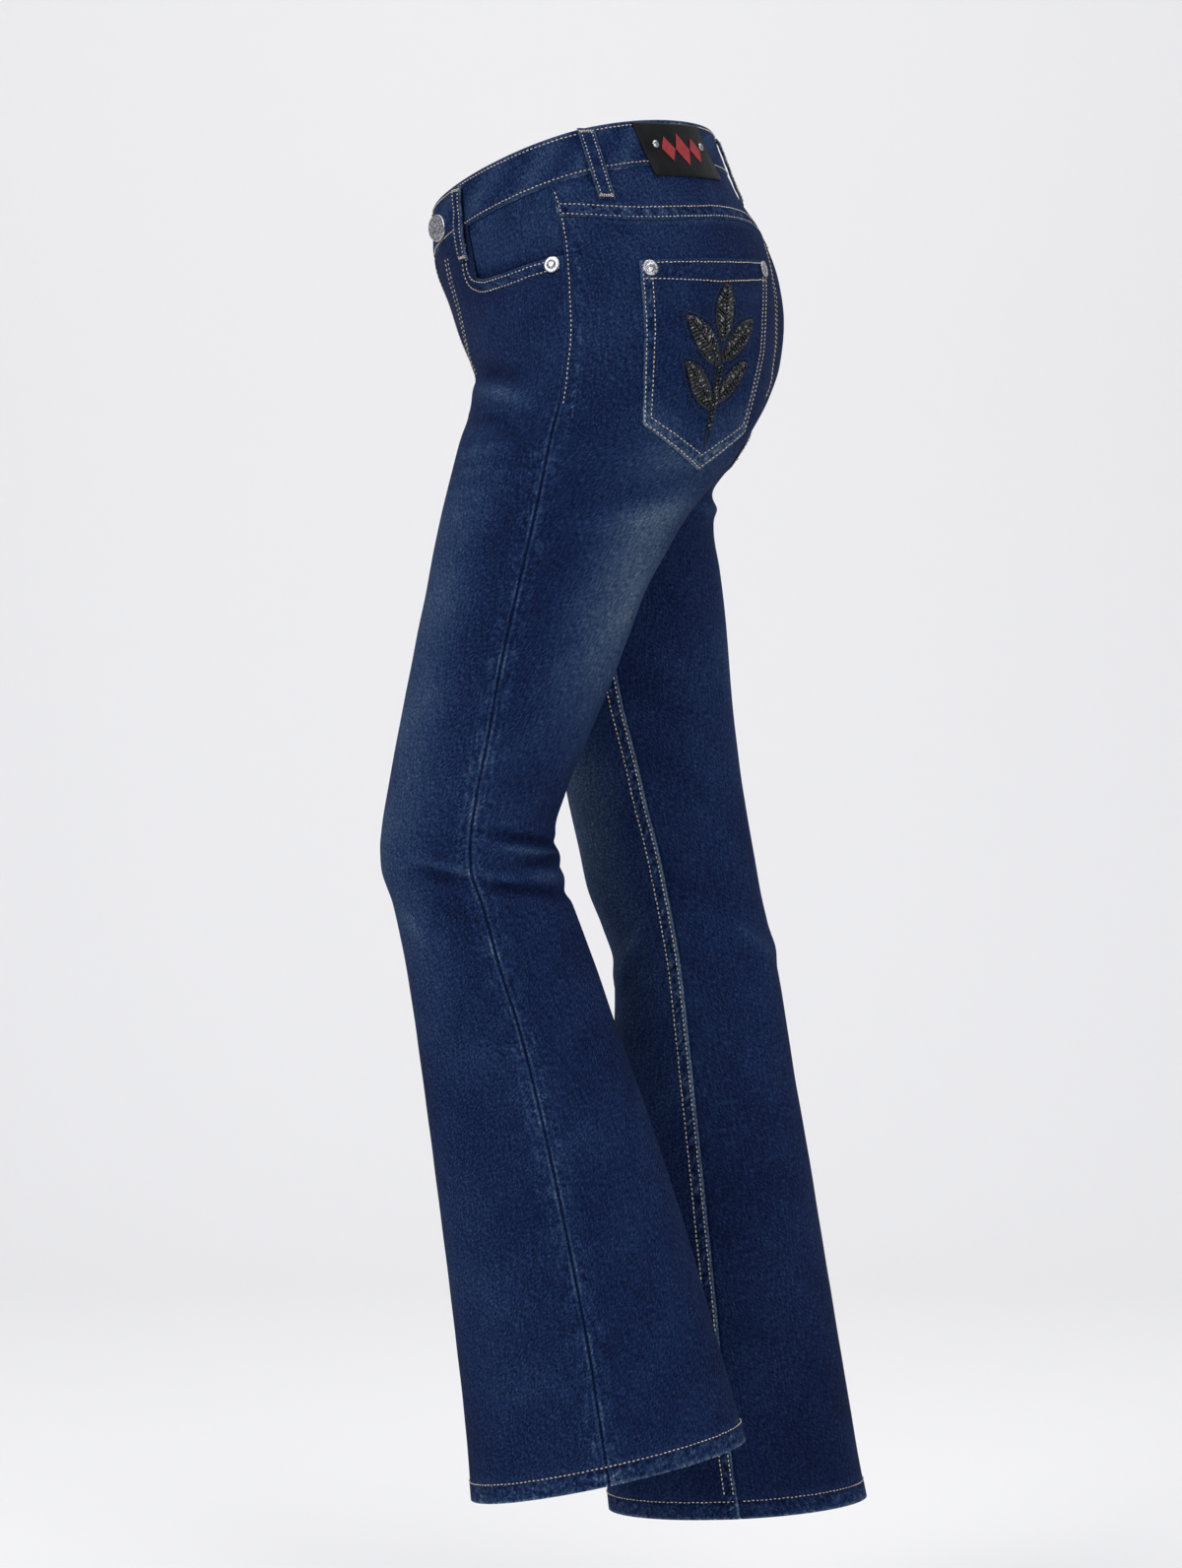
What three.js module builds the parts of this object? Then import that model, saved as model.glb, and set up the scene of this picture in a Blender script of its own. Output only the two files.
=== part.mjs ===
import * as THREE from "three";

// Flared jeans in walking pose. Lengths are millimetres.
// +X is the wearer's left, -Y the front, +Z up. The origin is the middle of the waist opening.

// Driving sizes
const cloth = 1.3;
const laidCloth = 1.2;
const bandThickness = 2.8;
const hemThickness = 2.7;
const hemDepth = 15;
const seamGap = 0.3;
const laidGap = 0.7;
const pocketGap = 1.7;
const pocketSideGap = 0.65;
const bandHeight = 35;
const bandFrontExtra = 2;
const waistSlope = 0.265;
const waistHalfDepth = 108;
const waistSideLift = 8;
const crotchZ = -216;
const crotchY = 15;
const riseTurnZ = -150;
const riseTurnFront = -75.5;
const riseTurnBack = 151;
const loopWidth = 12;
const rivetRadius = 6;
const buttonRadius = 10;
const halfGap = seamGap / 2;

// Sections of each half of the garment, one row per height.
// front and back: foremost and rearmost y; mid: y of the widest point; lobe: x where front and back
// reach furthest; outer and inner: x of the outer side and, below the crotch, of the inner side;
// seam: y of the side seam.
const sectionColumns = ["z", "front", "back", "mid", "lobe", "outer", "inner", "seam"];
const leftSections = [
  [34, -99, 104, 0, 14, 139, 0, -38],
  [10, -103.5, 111.5, 3, 14, 142, 0, -32],
  [-20, -106.5, 124, 6, 14, 146, 0, -22],
  [-50, -106, 142, 10, 15, 151, 0, -12],
  [-78, -101, 149.5, 14, 18, 157, 0, -7],
  [-110, -90, 151.5, 17, 26, 163, 0, -5],
  [-140, -80, 150.5, 18, 42, 166, 0, -4],
  [-163, -73, 147, 18, 56, 167, 0, -6],
  [-190, -78, 138, 17, 70, 165, 0, -9.5],
  [-216, -85.5, 124, 15, 80, 162, 0.15, -16],
  [-236, -90.5, 109, 10, 80.5, 159.5, 2, -20],
  [-263, -97, 86.5, -4, 80, 156, 4, -25.5],
  [-291, -103, 70, -16.5, 79.5, 152.5, 6, -32],
  [-323, -109, 53, -28, 79, 149, 8, -39.5],
  [-353, -115.5, 41.5, -37, 78, 146, 9.5, -46.5],
  [-384, -121.5, 30, -46, 77.5, 143.5, 11, -53],
  [-434, -131.3, 9.5, -61, 76, 140, 12.5, -62],
  [-472, -138, -5.8, -72, 75.5, 138, 13.5, -69.5],
  [-498, -142, -13, -77.5, 75, 136.5, 14, -73.5],
  [-511, -143.2, -11.6, -77.4, 75, 136, 14, -74.5],
  [-525, -142.5, -10.2, -76.4, 75, 135.5, 14, -74],
  [-554, -133.8, 0, -67, 75, 134.5, 14, -65],
  [-598, -124.3, 16, -54, 75.5, 134, 14.5, -53],
  [-640, -117.2, 30.5, -43.5, 76.5, 135.5, 14.5, -39.5],
  [-727, -105.7, 61.8, -22, 79, 140.5, 15, -18],
  [-800, -96, 85, -5.5, 81.5, 145, 15.5, -2.5],
  [-867, -87.5, 104.7, 8.6, 84, 149.5, 16.5, 10.5],
  [-948, -78.7, 126.5, 24, 86.5, 154, 18, 23],
  [-1000, -74.5, 137, 31, 88, 157, 19, 31],
];
const rightSections = [
  [34, -99, 105, 0, 16, 139, 0, -38],
  [10, -103.5, 113, 3, 17, 142, 0, -32],
  [-20, -106.5, 127, 6, 20, 146, 0, -22],
  [-50, -106, 147, 10, 28, 151, 0, -12],
  [-78, -101, 158, 14, 40, 157, 0, -7],
  [-110, -90, 162.5, 17, 50, 163, 0, -5],
  [-140, -80, 159.5, 18, 57, 166, 0, -4],
  [-163, -73, 152, 18, 64, 167, 0, -5],
  [-190, -76, 138, 17, 72, 165, 0, -6],
  [-216, -82, 121.5, 15, 80, 162, 0.15, -4],
  [-237, -85, 109, 14, 80.5, 159.5, 2, 2],
  [-266, -77, 109.5, 18, 80, 156, 4, 12],
  [-297, -60, 114.3, 23, 79.5, 152, 6, 23],
  [-328, -47, 118, 28, 79, 148.5, 8, 32],
  [-359, -37.5, 120.5, 30.5, 78, 145.5, 10, 39],
  [-390, -29, 122.8, 35, 77.5, 143, 11, 45],
  [-452, -10, 129.8, 50, 76, 139, 13, 59],
  [-483, -3.9, 134.4, 57, 75.5, 137.5, 13.5, 65],
  [-514, 3.1, 139.8, 65, 75, 136, 14, 71],
  [-545, 10, 145.2, 71.5, 75, 134.5, 14, 77],
  [-576, 22, 152, 77.5, 75, 134, 14, 86],
  [-606, 31, 158.4, 82.5, 75.5, 134, 14.5, 94],
  [-637, 31.6, 163.8, 86, 76.5, 135, 14.5, 97],
  [-699, 27.8, 173.8, 92.5, 78.5, 138.5, 15, 100],
  [-776, 21, 187, 100.5, 81, 143.5, 15.5, 103],
  [-854, 18, 200, 108.5, 84, 149, 16.5, 108],
  [-931, 19, 213, 116, 86.5, 153.5, 17.5, 115],
  [-993, 23.3, 223.3, 123, 88, 157, 19, 122],
  [-1050, 29, 235, 132, 89, 160, 20, 131],
];

// Centre front and centre back seams above the turn of the rise.
const riseColumns = ["z", "front", "back"];
const riseRows = [
  [34, -100.5, 105.5],
  [10, -104.5, 112.5],
  [-8, -106.5, 119],
  [-31, -108, 132],
  [-50, -107.5, 144],
  [-70, -105.5, 149.8],
  [-100, -94.5, 155],
  [-125, -86.5, 154.5],
  [-150, -75.5, 151],
];

// Largest folds: ends in y and z on the outer or inner face, half width across, height out (+) or in (-).
const foldColumns = ["side", "face", "y1", "z1", "y2", "z2", "half", "height"];
const foldRows = [
  ["left", "outer", -60, -497, 6, -503, 9, -3.4],
  ["left", "outer", -72, -507, -6, -514, 9, 2.6],
  ["left", "outer", -66, -541, 4, -542, 10, -4.2],
  ["left", "outer", -112, -520, -78, -533, 9, 2],
  ["left", "inner", -64, -500, 6, -504, 9, -3.2],
  ["left", "inner", -64, -540, 4, -543, 10, -3.8],
  ["right", "inner", 26, -600, 56, -572, 10, -3],
  ["right", "inner", 128, -568, 164, -602, 10, 2.4],
  ["right", "outer", 22, -598, 60, -570, 10, -3],
  ["right", "outer", 124, -566, 162, -600, 10, 2.2],
];

// Hem planes: height at y = 0 and rise per mm of y.
const hems = {
  left: { height: -975.3, slope: 0.217 },
  right: { height: -1034.5, slope: 0.05 },
};

const denimColor = 0x22356b;

// A smooth curve through table values without overshoot.
function monotoneCurve(xs, ys) {
  const count = xs.length;
  const steps = [];
  const slopes = [];
  for (let i = 0; i < count - 1; i += 1) {
    steps.push(xs[i + 1] - xs[i]);
    slopes.push((ys[i + 1] - ys[i]) / steps[i]);
  }
  const tangents = [slopes[0]];
  for (let i = 1; i < count - 1; i += 1) {
    if (slopes[i - 1] * slopes[i] <= 0) {
      tangents.push(0);
      continue;
    }
    const before = 2 * steps[i] + steps[i - 1];
    const after = steps[i] + 2 * steps[i - 1];
    tangents.push((before + after) / (before / slopes[i - 1] + after / slopes[i]));
  }
  tangents.push(slopes[count - 2]);
  return (x) => {
    let i = 0;
    while (i < count - 2 && x > xs[i + 1]) {
      i += 1;
    }
    const s = Math.min(1, Math.max(0, (x - xs[i]) / steps[i]));
    const s2 = s * s;
    const s3 = s2 * s;
    return (
      (2 * s3 - 3 * s2 + 1) * ys[i] +
      (s3 - 2 * s2 + s) * steps[i] * tangents[i] +
      (3 * s2 - 2 * s3) * ys[i + 1] +
      (s3 - s2) * steps[i] * tangents[i + 1]
    );
  };
}

// Curves by height for each named column of a table whose first column is z, highest row first.
function tableCurves(columns, rows) {
  const rising = [...rows].reverse();
  const zs = rising.map((row) => row[0]);
  const curves = {};
  columns.forEach((name, index) => {
    if (index > 0) {
      curves[name] = monotoneCurve(zs, rising.map((row) => row[index]));
    }
  });
  return curves;
}

const sections = {
  left: tableCurves(sectionColumns, leftSections),
  right: tableCurves(sectionColumns, rightSections),
};
const upperRise = tableCurves(riseColumns, riseRows);
const folds = foldRows.map((row) =>
  Object.fromEntries(foldColumns.map((name, index) => [name, row[index]])),
);

// Centre seams: from the table down to the turn, then a rounded U to the crotch point.
function riseFront(z) {
  if (z >= riseTurnZ) {
    return upperRise.front(z);
  }
  const drop = Math.min(1, (riseTurnZ - z) / (riseTurnZ - crotchZ));
  return crotchY + (riseTurnFront - crotchY) * Math.pow(1 - drop, 1 / 2.8);
}

function riseBack(z) {
  if (z >= riseTurnZ) {
    return upperRise.back(z);
  }
  const drop = Math.min(1, (riseTurnZ - z) / (riseTurnZ - crotchZ));
  return crotchY + (riseTurnBack - crotchY) * Math.pow(1 - drop * drop, 1 / 2.4);
}

function waistTop(y) {
  const across = y / waistHalfDepth;
  return waistSlope * y + waistSideLift * (1 - across * across);
}

function waistSeam(y) {
  const frontShare = Math.min(1, Math.max(0, -y / waistHalfDepth));
  return waistTop(y) - bandHeight - bandFrontExtra * frontShare;
}

// Roundness of the outer quarters: slightly pointed at the waist, round on the legs.
function roundness(z) {
  const share = Math.min(1, Math.max(0, (z + 260) / 200));
  return 2.06 - 0.3 * share;
}

// Half a section at one height, as points from the front centre (or inseam) around the outer side.
const quarterSteps = 28;
const innerSteps = 16;

function innerQuarter(s, depth, endY, sign, below) {
  const points = [];
  const reach = s.lobe - (below ? s.inner : halfGap);
  const ratio = below ? 0 : (endY - s.mid) / (sign * depth);
  for (let i = 0; i <= innerSteps; i += 1) {
    const share = i / innerSteps;
    if (ratio >= 0.999) {
      const peak = s.mid + sign * depth;
      const away = 1 - share;
      points.push([s.lobe - reach * away, peak + (endY - peak) * away * away]);
      continue;
    }
    const start = Math.asin(Math.max(0, ratio));
    const angle = start + (Math.PI / 2 - start) * share;
    const width = reach / Math.cos(start);
    points.push([s.lobe - width * Math.cos(angle), s.mid + sign * depth * Math.sin(angle)]);
  }
  return points;
}

function outerQuarter(s, depth, sign, power) {
  const points = [];
  for (let i = 1; i <= quarterSteps; i += 1) {
    const angle = ((Math.PI / 2) * i) / quarterSteps;
    const x = s.lobe + (s.outer - s.lobe) * Math.pow(Math.sin(angle), 2 / power);
    const y = s.mid + sign * depth * Math.pow(Math.max(0, Math.cos(angle)), 2 / power);
    points.push([x, y]);
  }
  return points;
}

const sectionCache = new Map();

function section(side, z) {
  const key = `${side} ${z.toFixed(3)}`;
  if (sectionCache.has(key)) {
    return sectionCache.get(key);
  }
  const s = {};
  for (const name of sectionColumns.slice(1)) {
    s[name] = sections[side][name](z);
  }
  const below = z < crotchZ - 0.001;
  const power = roundness(z);
  const front = innerQuarter(s, s.mid - s.front, riseFront(z), -1, below);
  front.push(...outerQuarter(s, s.mid - s.front, -1, power));
  const back = innerQuarter(s, s.back - s.mid, riseBack(z), 1, below);
  back.push(...outerQuarter(s, s.back - s.mid, 1, power));
  back.pop();
  const points = front.concat(back.reverse());
  const lengths = [0];
  for (let i = 1; i < points.length; i += 1) {
    const dx = points[i][0] - points[i - 1][0];
    const dy = points[i][1] - points[i - 1][1];
    lengths.push(lengths[i - 1] + Math.hypot(dx, dy));
  }
  let seamLength = 0;
  for (let i = innerSteps; i < points.length - innerSteps - 1; i += 1) {
    const before = points[i][1];
    const after = points[i + 1][1];
    if (before <= s.seam && after > s.seam) {
      const share = (s.seam - before) / (after - before);
      seamLength = lengths[i] + (lengths[i + 1] - lengths[i]) * share;
    }
  }
  const total = lengths[lengths.length - 1];
  const result = { ...s, points, lengths, seamLength, total, below, z, side };
  sectionCache.set(key, result);
  return result;
}

// A point at a length along a section.
function along(sec, length) {
  let target = length;
  if (sec.below) {
    target = ((length % sec.total) + sec.total) % sec.total;
  }
  target = Math.min(sec.total, Math.max(0, target));
  let low = 0;
  let high = sec.lengths.length - 1;
  while (high - low > 1) {
    const middle = (low + high) >> 1;
    if (sec.lengths[middle] <= target) {
      low = middle;
    } else {
      high = middle;
    }
  }
  const span = sec.lengths[high] - sec.lengths[low] || 1;
  const share = (target - sec.lengths[low]) / span;
  return [
    sec.points[low][0] + (sec.points[high][0] - sec.points[low][0]) * share,
    sec.points[low][1] + (sec.points[high][1] - sec.points[low][1]) * share,
  ];
}

// Ring position g: 0 front centre or inseam, 1 side seam, 2 back centre or inseam.
function lengthAt(sec, g) {
  if (g <= 1) {
    return sec.seamLength * g;
  }
  return sec.seamLength + (sec.total - sec.seamLength) * (g - 1);
}

function foldHeight(side, face, y, z) {
  let sum = 0;
  for (const fold of folds) {
    if (fold.side !== side || fold.face !== face) {
      continue;
    }
    const dy = fold.y2 - fold.y1;
    const dz = fold.z2 - fold.z1;
    const size = dy * dy + dz * dz;
    const share = ((y - fold.y1) * dy + (z - fold.z1) * dz) / size;
    const nearest = Math.min(1, Math.max(0, share));
    const away = Math.hypot(y - fold.y1 - dy * nearest, z - fold.z1 - dz * nearest);
    sum += fold.height * Math.exp(-((away / fold.half) ** 2));
  }
  return sum;
}

// Point of the garment's outer face.
function surface(side, g, z, shift = 0) {
  const sec = section(side, z);
  const [x, y] = along(sec, lengthAt(sec, g) + shift);
  const face = x >= sec.lobe ? "outer" : "inner";
  const height = foldHeight(side, face, y, z);
  const away = Math.hypot(x - sec.lobe, y - sec.mid);
  const px = x + (height * (x - sec.lobe)) / away;
  const py = y + (height * (y - sec.mid)) / away;
  return new THREE.Vector3(side === "left" ? px : -px, py, z);
}

// Ring position where the outer side has a given y.
function ringAt(side, y, z) {
  const sec = section(side, z);
  for (let i = innerSteps; i < sec.points.length - innerSteps - 1; i += 1) {
    const before = sec.points[i][1];
    const after = sec.points[i + 1][1];
    if (before <= y && after > y) {
      const share = (y - before) / (after - before);
      const length = sec.lengths[i] + (sec.lengths[i + 1] - sec.lengths[i]) * share;
      if (length <= sec.seamLength) {
        return length / sec.seamLength;
      }
      return 1 + (length - sec.seamLength) / (sec.total - sec.seamLength);
    }
  }
  return y < sec.mid ? 0 : 2;
}

// Outward direction at a ring position, from the rows above and below it.
function outward(side, g, zAbove, zBelow, z, shift) {
  const step = 2.5;
  const onCentre = z >= crotchZ - 0.001 && (g < 0.02 || g > 1.98);
  const before = surface(side, g, z, shift - step);
  const after = surface(side, g, z, shift + step);
  const around = after.sub(before);
  const down = surface(side, g, zBelow, shift).sub(surface(side, g, zAbove, shift));
  const normal = new THREE.Vector3().crossVectors(around, down);
  const sec = section(side, z);
  const point = surface(side, g, z, shift);
  const hub = new THREE.Vector3(side === "left" ? sec.lobe : -sec.lobe, sec.mid, z);
  if (normal.dot(point.clone().sub(hub)) < 0) {
    normal.negate();
  }
  if (onCentre && z > crotchZ + 0.5) {
    normal.x = 0;
  }
  return normal.normalize();
}

// Heights where a sloping line z = height(y) crosses a ring position.
function heightOn(side, g, lineHeight, start) {
  let z = start;
  for (let i = 0; i < 14; i += 1) {
    z = lineHeight(surface(side, g, z).y);
  }
  return z;
}

const spots = (side, g, zs, shift = 0) =>
  zs.map((z, row) => ({
    point: surface(side, g, z, shift),
    normal: outward(side, g, zs[Math.max(0, row - 1)], zs[Math.min(zs.length - 1, row + 1)], z, shift),
  }));

// A closed wall on a grid of spots, columns[i][row]; each face lies at a distance along the normal.
function wall(columns, outerAt, innerAt) {
  const rowCount = columns[0].length;
  const positions = [];
  const index = [];
  const faces = [outerAt, innerAt];
  const vertex = (face, column, row) => (face * columns.length + column) * rowCount + row;
  faces.forEach((distance) => {
    columns.forEach((column, c) => {
      column.forEach(({ point, normal }, r) => {
        const offset = typeof distance === "function" ? distance(c, r) : distance;
        positions.push(
          point.x + normal.x * offset,
          point.y + normal.y * offset,
          point.z + normal.z * offset,
        );
      });
    });
  });
  const at = (v) => new THREE.Vector3(positions[3 * v], positions[3 * v + 1], positions[3 * v + 2]);
  const quad = (a, b, c, d) => index.push(a, b, c, a, c, d);
  for (let c = 0; c < columns.length - 1; c += 1) {
    for (let r = 0; r < rowCount - 1; r += 1) {
      const first = at(vertex(0, c, r)).distanceTo(at(vertex(0, c + 1, r + 1)));
      const second = at(vertex(0, c + 1, r)).distanceTo(at(vertex(0, c, r + 1)));
      const corners = [
        [c, r],
        [c + 1, r],
        [c + 1, r + 1],
        [c, r + 1],
      ];
      const turn = first <= second ? 0 : 1;
      const cell = [0, 1, 2, 3].map((i) => corners[(i + turn) % 4]);
      const [p, q, s, t] = cell;
      quad(vertex(0, ...p), vertex(0, ...q), vertex(0, ...s), vertex(0, ...t));
      index.push(vertex(1, ...p), vertex(1, ...s), vertex(1, ...q));
      index.push(vertex(1, ...p), vertex(1, ...t), vertex(1, ...s));
    }
  }
  const edge = [];
  for (let c = 0; c < columns.length - 1; c += 1) {
    edge.push([c, 0]);
  }
  for (let r = 0; r < rowCount - 1; r += 1) {
    edge.push([columns.length - 1, r]);
  }
  for (let c = columns.length - 1; c > 0; c -= 1) {
    edge.push([c, rowCount - 1]);
  }
  for (let r = rowCount - 1; r > 0; r -= 1) {
    edge.push([0, r]);
  }
  edge.forEach(([c, r], i) => {
    const [c2, r2] = edge[(i + 1) % edge.length];
    quad(vertex(0, c2, r2), vertex(0, c, r), vertex(1, c, r), vertex(1, c2, r2));
  });
  return closed(positions, index);
}

// Geometry with its faces turned outward.
function closed(positions, index) {
  let volume = 0;
  const corner = (i) => new THREE.Vector3(positions[3 * i], positions[3 * i + 1], positions[3 * i + 2]);
  for (let i = 0; i < index.length; i += 3) {
    const a = corner(index[i]);
    const b = corner(index[i + 1]);
    const c = corner(index[i + 2]);
    volume += a.dot(b.cross(c));
  }
  const turned = volume < 0 ? [...index].reverse() : index;
  const geometry = new THREE.BufferGeometry();
  geometry.setAttribute("position", new THREE.Float32BufferAttribute(positions, 3));
  geometry.setIndex(turned);
  geometry.computeVertexNormals();
  return geometry;
}

const jeans = new THREE.Group();
jeans.name = "flared_jeans";

function addPiece(name, geometry, color, metalness = 0, roughness = 0.9) {
  const material = new THREE.MeshStandardMaterial({ color, metalness, roughness });
  material.name = `${name}_material`;
  const mesh = new THREE.Mesh(geometry, material);
  mesh.name = name;
  jeans.add(mesh);
}

const sides = ["left", "right"];
const levelZ = -110;
const blendZ = -420;
const levels = [-130, -150, -170, -186, -199, -208, -213.5, crotchZ, -222, -236, -255, -280, -312, -348, -384];
const lowerDrops = [22, 44, 64, 79, 92, 102, 112, 122, 134, 152, 178, 214, 262, 318, 376, 434, 488];
const kneeSpan = 560;

// Heights down one column of a leg panel, from a top height to the hem.
function columnHeights(side, g, top, topRows) {
  const zs = [];
  for (let i = 0; i < topRows; i += 1) {
    zs.push(top + ((levelZ - top) * i) / topRows);
  }
  zs.push(levelZ, ...levels, blendZ);
  const hem = hems[side];
  const bottom = heightOn(side, g, (y) => hem.height + hem.slope * y, -980);
  const hemTop = bottom + hemDepth;
  for (const drop of lowerDrops) {
    zs.push(blendZ + ((hemTop - blendZ) * drop) / kneeSpan);
  }
  zs.push(hemTop, hemTop - 1.5, bottom);
  return zs;
}

const hemWall = (count) => (column, row) => (row >= count - 2 ? -hemThickness : -cloth);

// Front pocket scoop: heights of the panel's top edge by y on the outer side.
const scoopRows = [
  [-77, -66],
  [-76, -84],
  [-72, -92],
  [-64, -95],
  [-51, -93.5],
  [-30, -88.5],
  [-8, -84],
];
const scoopEdge = monotoneCurve(scoopRows.map((row) => row[0]), scoopRows.map((row) => row[1]));
const scoopStartY = scoopRows[0][0];

// Top edge of the front panel at a ring position: the waist seam, then the pocket scoop.
function frontTop(side, g, scoopStart) {
  if (g <= scoopStart) {
    return heightOn(side, g, (y) => waistSeam(y) - seamGap, -60);
  }
  let z = -90;
  for (let i = 0; i < 14; i += 1) {
    z = scoopEdge(surface(side, g, z).y);
  }
  return z;
}

const yokeRows = [
  [1, -55],
  [1.2, -57],
  [1.45, -52],
  [1.62, -47.5],
  [1.75, -46.5],
  [1.88, -50],
  [2, -58],
];
const yokeSeam = monotoneCurve(yokeRows.map((row) => row[0]), yokeRows.map((row) => row[1]));

const shiftAtEdge = (g) => (g === 1 ? halfGap : 0);

// Ring positions of the columns; the waistband uses the same ones, so the seams run side by side.
const scoopStarts = Object.fromEntries(sides.map((side) => [side, ringAt(side, scoopStartY, -62)]));
const frontStops = (side) => {
  const start = scoopStarts[side];
  return [0, 0.11, 0.22, 0.33, 0.42, start, start + 0.03, 0.63, 0.74, 0.86, 1];
};
const backStops = [1, 1.1, 1.2, 1.3, 1.4, 1.5, 1.6, 1.7, 1.8, 1.9, 2];

for (const side of sides) {
  const scoopStart = scoopStarts[side];
  const frontGs = frontStops(side);
  const front = frontGs.map((g) => {
    const zs = columnHeights(side, g, frontTop(side, g, scoopStart), 3);
    const base = spots(side, g, zs, -shiftAtEdge(g));
    if (g > 0) {
      return base;
    }
    return zs.map((z, row) => {
      const inset = z < crotchZ + 0.001 ? halfGap : 0;
      return spots(side, g, zs, inset)[row];
    });
  });
  addPiece(`front_${side}`, wall(front, 0, hemWall(front[0].length)), denimColor);

  const back = backStops.map((g) => {
    const zs = columnHeights(side, g, yokeSeam(g) - seamGap, 3);
    if (g < 2) {
      return spots(side, g, zs, shiftAtEdge(g));
    }
    return zs.map((z, row) => {
      const inset = z < crotchZ + 0.001 ? -halfGap : 0;
      return spots(side, g, zs, inset)[row];
    });
  });
  addPiece(`back_${side}`, wall(back, 0, hemWall(back[0].length)), denimColor);

  const yoke = backStops.map((g) => {
    const top = heightOn(side, g, (y) => waistSeam(y) - seamGap, -20);
    const bottom = yokeSeam(g);
    const zs = [0, 0.5, 1].map((share) => top + (bottom - top) * share);
    return spots(side, g, zs, shiftAtEdge(g));
  });
  addPiece(`yoke_${side}`, wall(yoke, 0, -cloth), denimColor);
}

// A grid of spots where place(column, row) gives side, g, z and shift.
const normalReach = 4;

function grid(columnCount, rowCount, place) {
  const columns = [];
  for (let c = 0; c < columnCount; c += 1) {
    const column = [];
    for (let r = 0; r < rowCount; r += 1) {
      const { side, g, z, shift = 0 } = place(c, r);
      column.push({
        point: surface(side, g, z, shift),
        normal: outward(side, g, z + normalReach, z - normalReach, z, shift),
      });
    }
    columns.push(column);
  }
  return columns;
}

const between = (a, b, share) => a + (b - a) * share;

// Waistband: from its left end over the front, round the back, to its right end under the left one.
const underDrop = bandThickness + seamGap;
const underLift = 2.2;
const tipLift = 0.8;
const bandStops = [
  ["right", 0, 12, 0, tipLift],
  ...frontStops("left").map((g) => ["left", g, 0, 0]),
  ...backStops.slice(1).map((g) => ["left", g, 0, 0]),
  ...backStops.slice(1, -1).reverse().map((g) => ["right", g, 0, 0]),
  ...frontStops("right").slice(3).reverse().map((g) => ["right", g, 0, 0]),
  ["right", 0.22, 0, 0],
  ["right", 0.11, 0, 1],
  ["right", 0, 5, 1],
  ["left", 0, 5, 1],
  ["left", 0, 18, 1],
];
const bandRows = 4;
const band = bandStops.map(([side, g, shift, under, lift = under * underLift]) => {
  const top = heightOn(side, g, waistTop, 0);
  const bottom = heightOn(side, g, waistSeam, -30) + lift;
  const column = [];
  for (let r = 0; r < bandRows; r += 1) {
    const z = between(top, bottom, r / (bandRows - 1));
    const reach = { side, g, z, shift };
    const spot = grid(1, 1, () => reach)[0][0];
    spot.point.addScaledVector(spot.normal, -under * underDrop);
    column.push(spot);
  }
  return column;
});
addPiece("waistband", wall(band, 0, -bandThickness), denimColor);

// Denim seen inside each front pocket opening; it runs on behind the front panel.
const facingTuck = 15;
const facingDrop = cloth + 1.9;
for (const side of sides) {
  const start = ringAt(side, scoopStartY, -62) - 0.07;
  const facing = grid(9, 5, (c, r) => {
    const g = between(start, 0.99, c / 8);
    const top = heightOn(side, g, (y) => waistSeam(y) - seamGap, -50);
    let bottom = -90;
    for (let i = 0; i < 14; i += 1) {
      bottom = scoopEdge(surface(side, g, bottom).y) - facingTuck;
    }
    return { side, g, z: between(top, Math.min(bottom, top - 34), r / 4) };
  });
  addPiece(`pocket_facing_${side}`, wall(facing, -facingDrop, -facingDrop - laidCloth), denimColor);
}

// Corners on the left back panel: y and z; the right side uses the same ring positions.
const cornerOn = (y, z) => ({ g: ringAt("left", y, z), z });
// Near the crotch the rings change over to the leg, so below this height the pocket runs straight down.
const levelLine = -150;
const peakMargin = 0.6;
const lowCornerOn = (y, z) => ({ g: ringAt("left", y, levelLine), z });
const pocket = {
  topSide: cornerOn(47, -88),
  topCentre: cornerOn(142, -74),
  lowSide: lowCornerOn(50, -206),
  lowCentre: lowCornerOn(124, -207),
  tip: lowCornerOn(90, -236),
};
const blend = (a, b, share) => ({ g: between(a.g, b.g, share), z: between(a.z, b.z, share) });

// Share across (side to centre) and share down a back pocket.
function onPocket(side, across, down) {
  const top = blend(pocket.topSide, pocket.topCentre, across);
  const low =
    across < 0.5
      ? blend(pocket.lowSide, pocket.tip, across * 2)
      : blend(pocket.tip, pocket.lowCentre, across * 2 - 1);
  const spot = blend(top, low, down);
  if (spot.z >= levelLine) {
    return spot;
  }
  const rearmost = sections[side].back(spot.z) - peakMargin;
  const y = Math.min(surface(side, spot.g, levelLine).y, rearmost);
  return { g: ringAt(side, y, spot.z), z: spot.z };
}

const pocketColumns = 11;
const pocketRows = 10;
const pocketTop = pocketGap + laidCloth;
for (const side of sides) {
  const net = grid(pocketColumns, pocketRows, (c, r) => ({
    side,
    ...onPocket(side, c / (pocketColumns - 1), r / (pocketRows - 1)),
  }));
  const gap = (c) => (c === 0 ? pocketSideGap : pocketGap);
  addPiece(`back_pocket_${side}`, wall(net, (c) => gap(c) + laidCloth, gap), denimColor);
}

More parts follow.
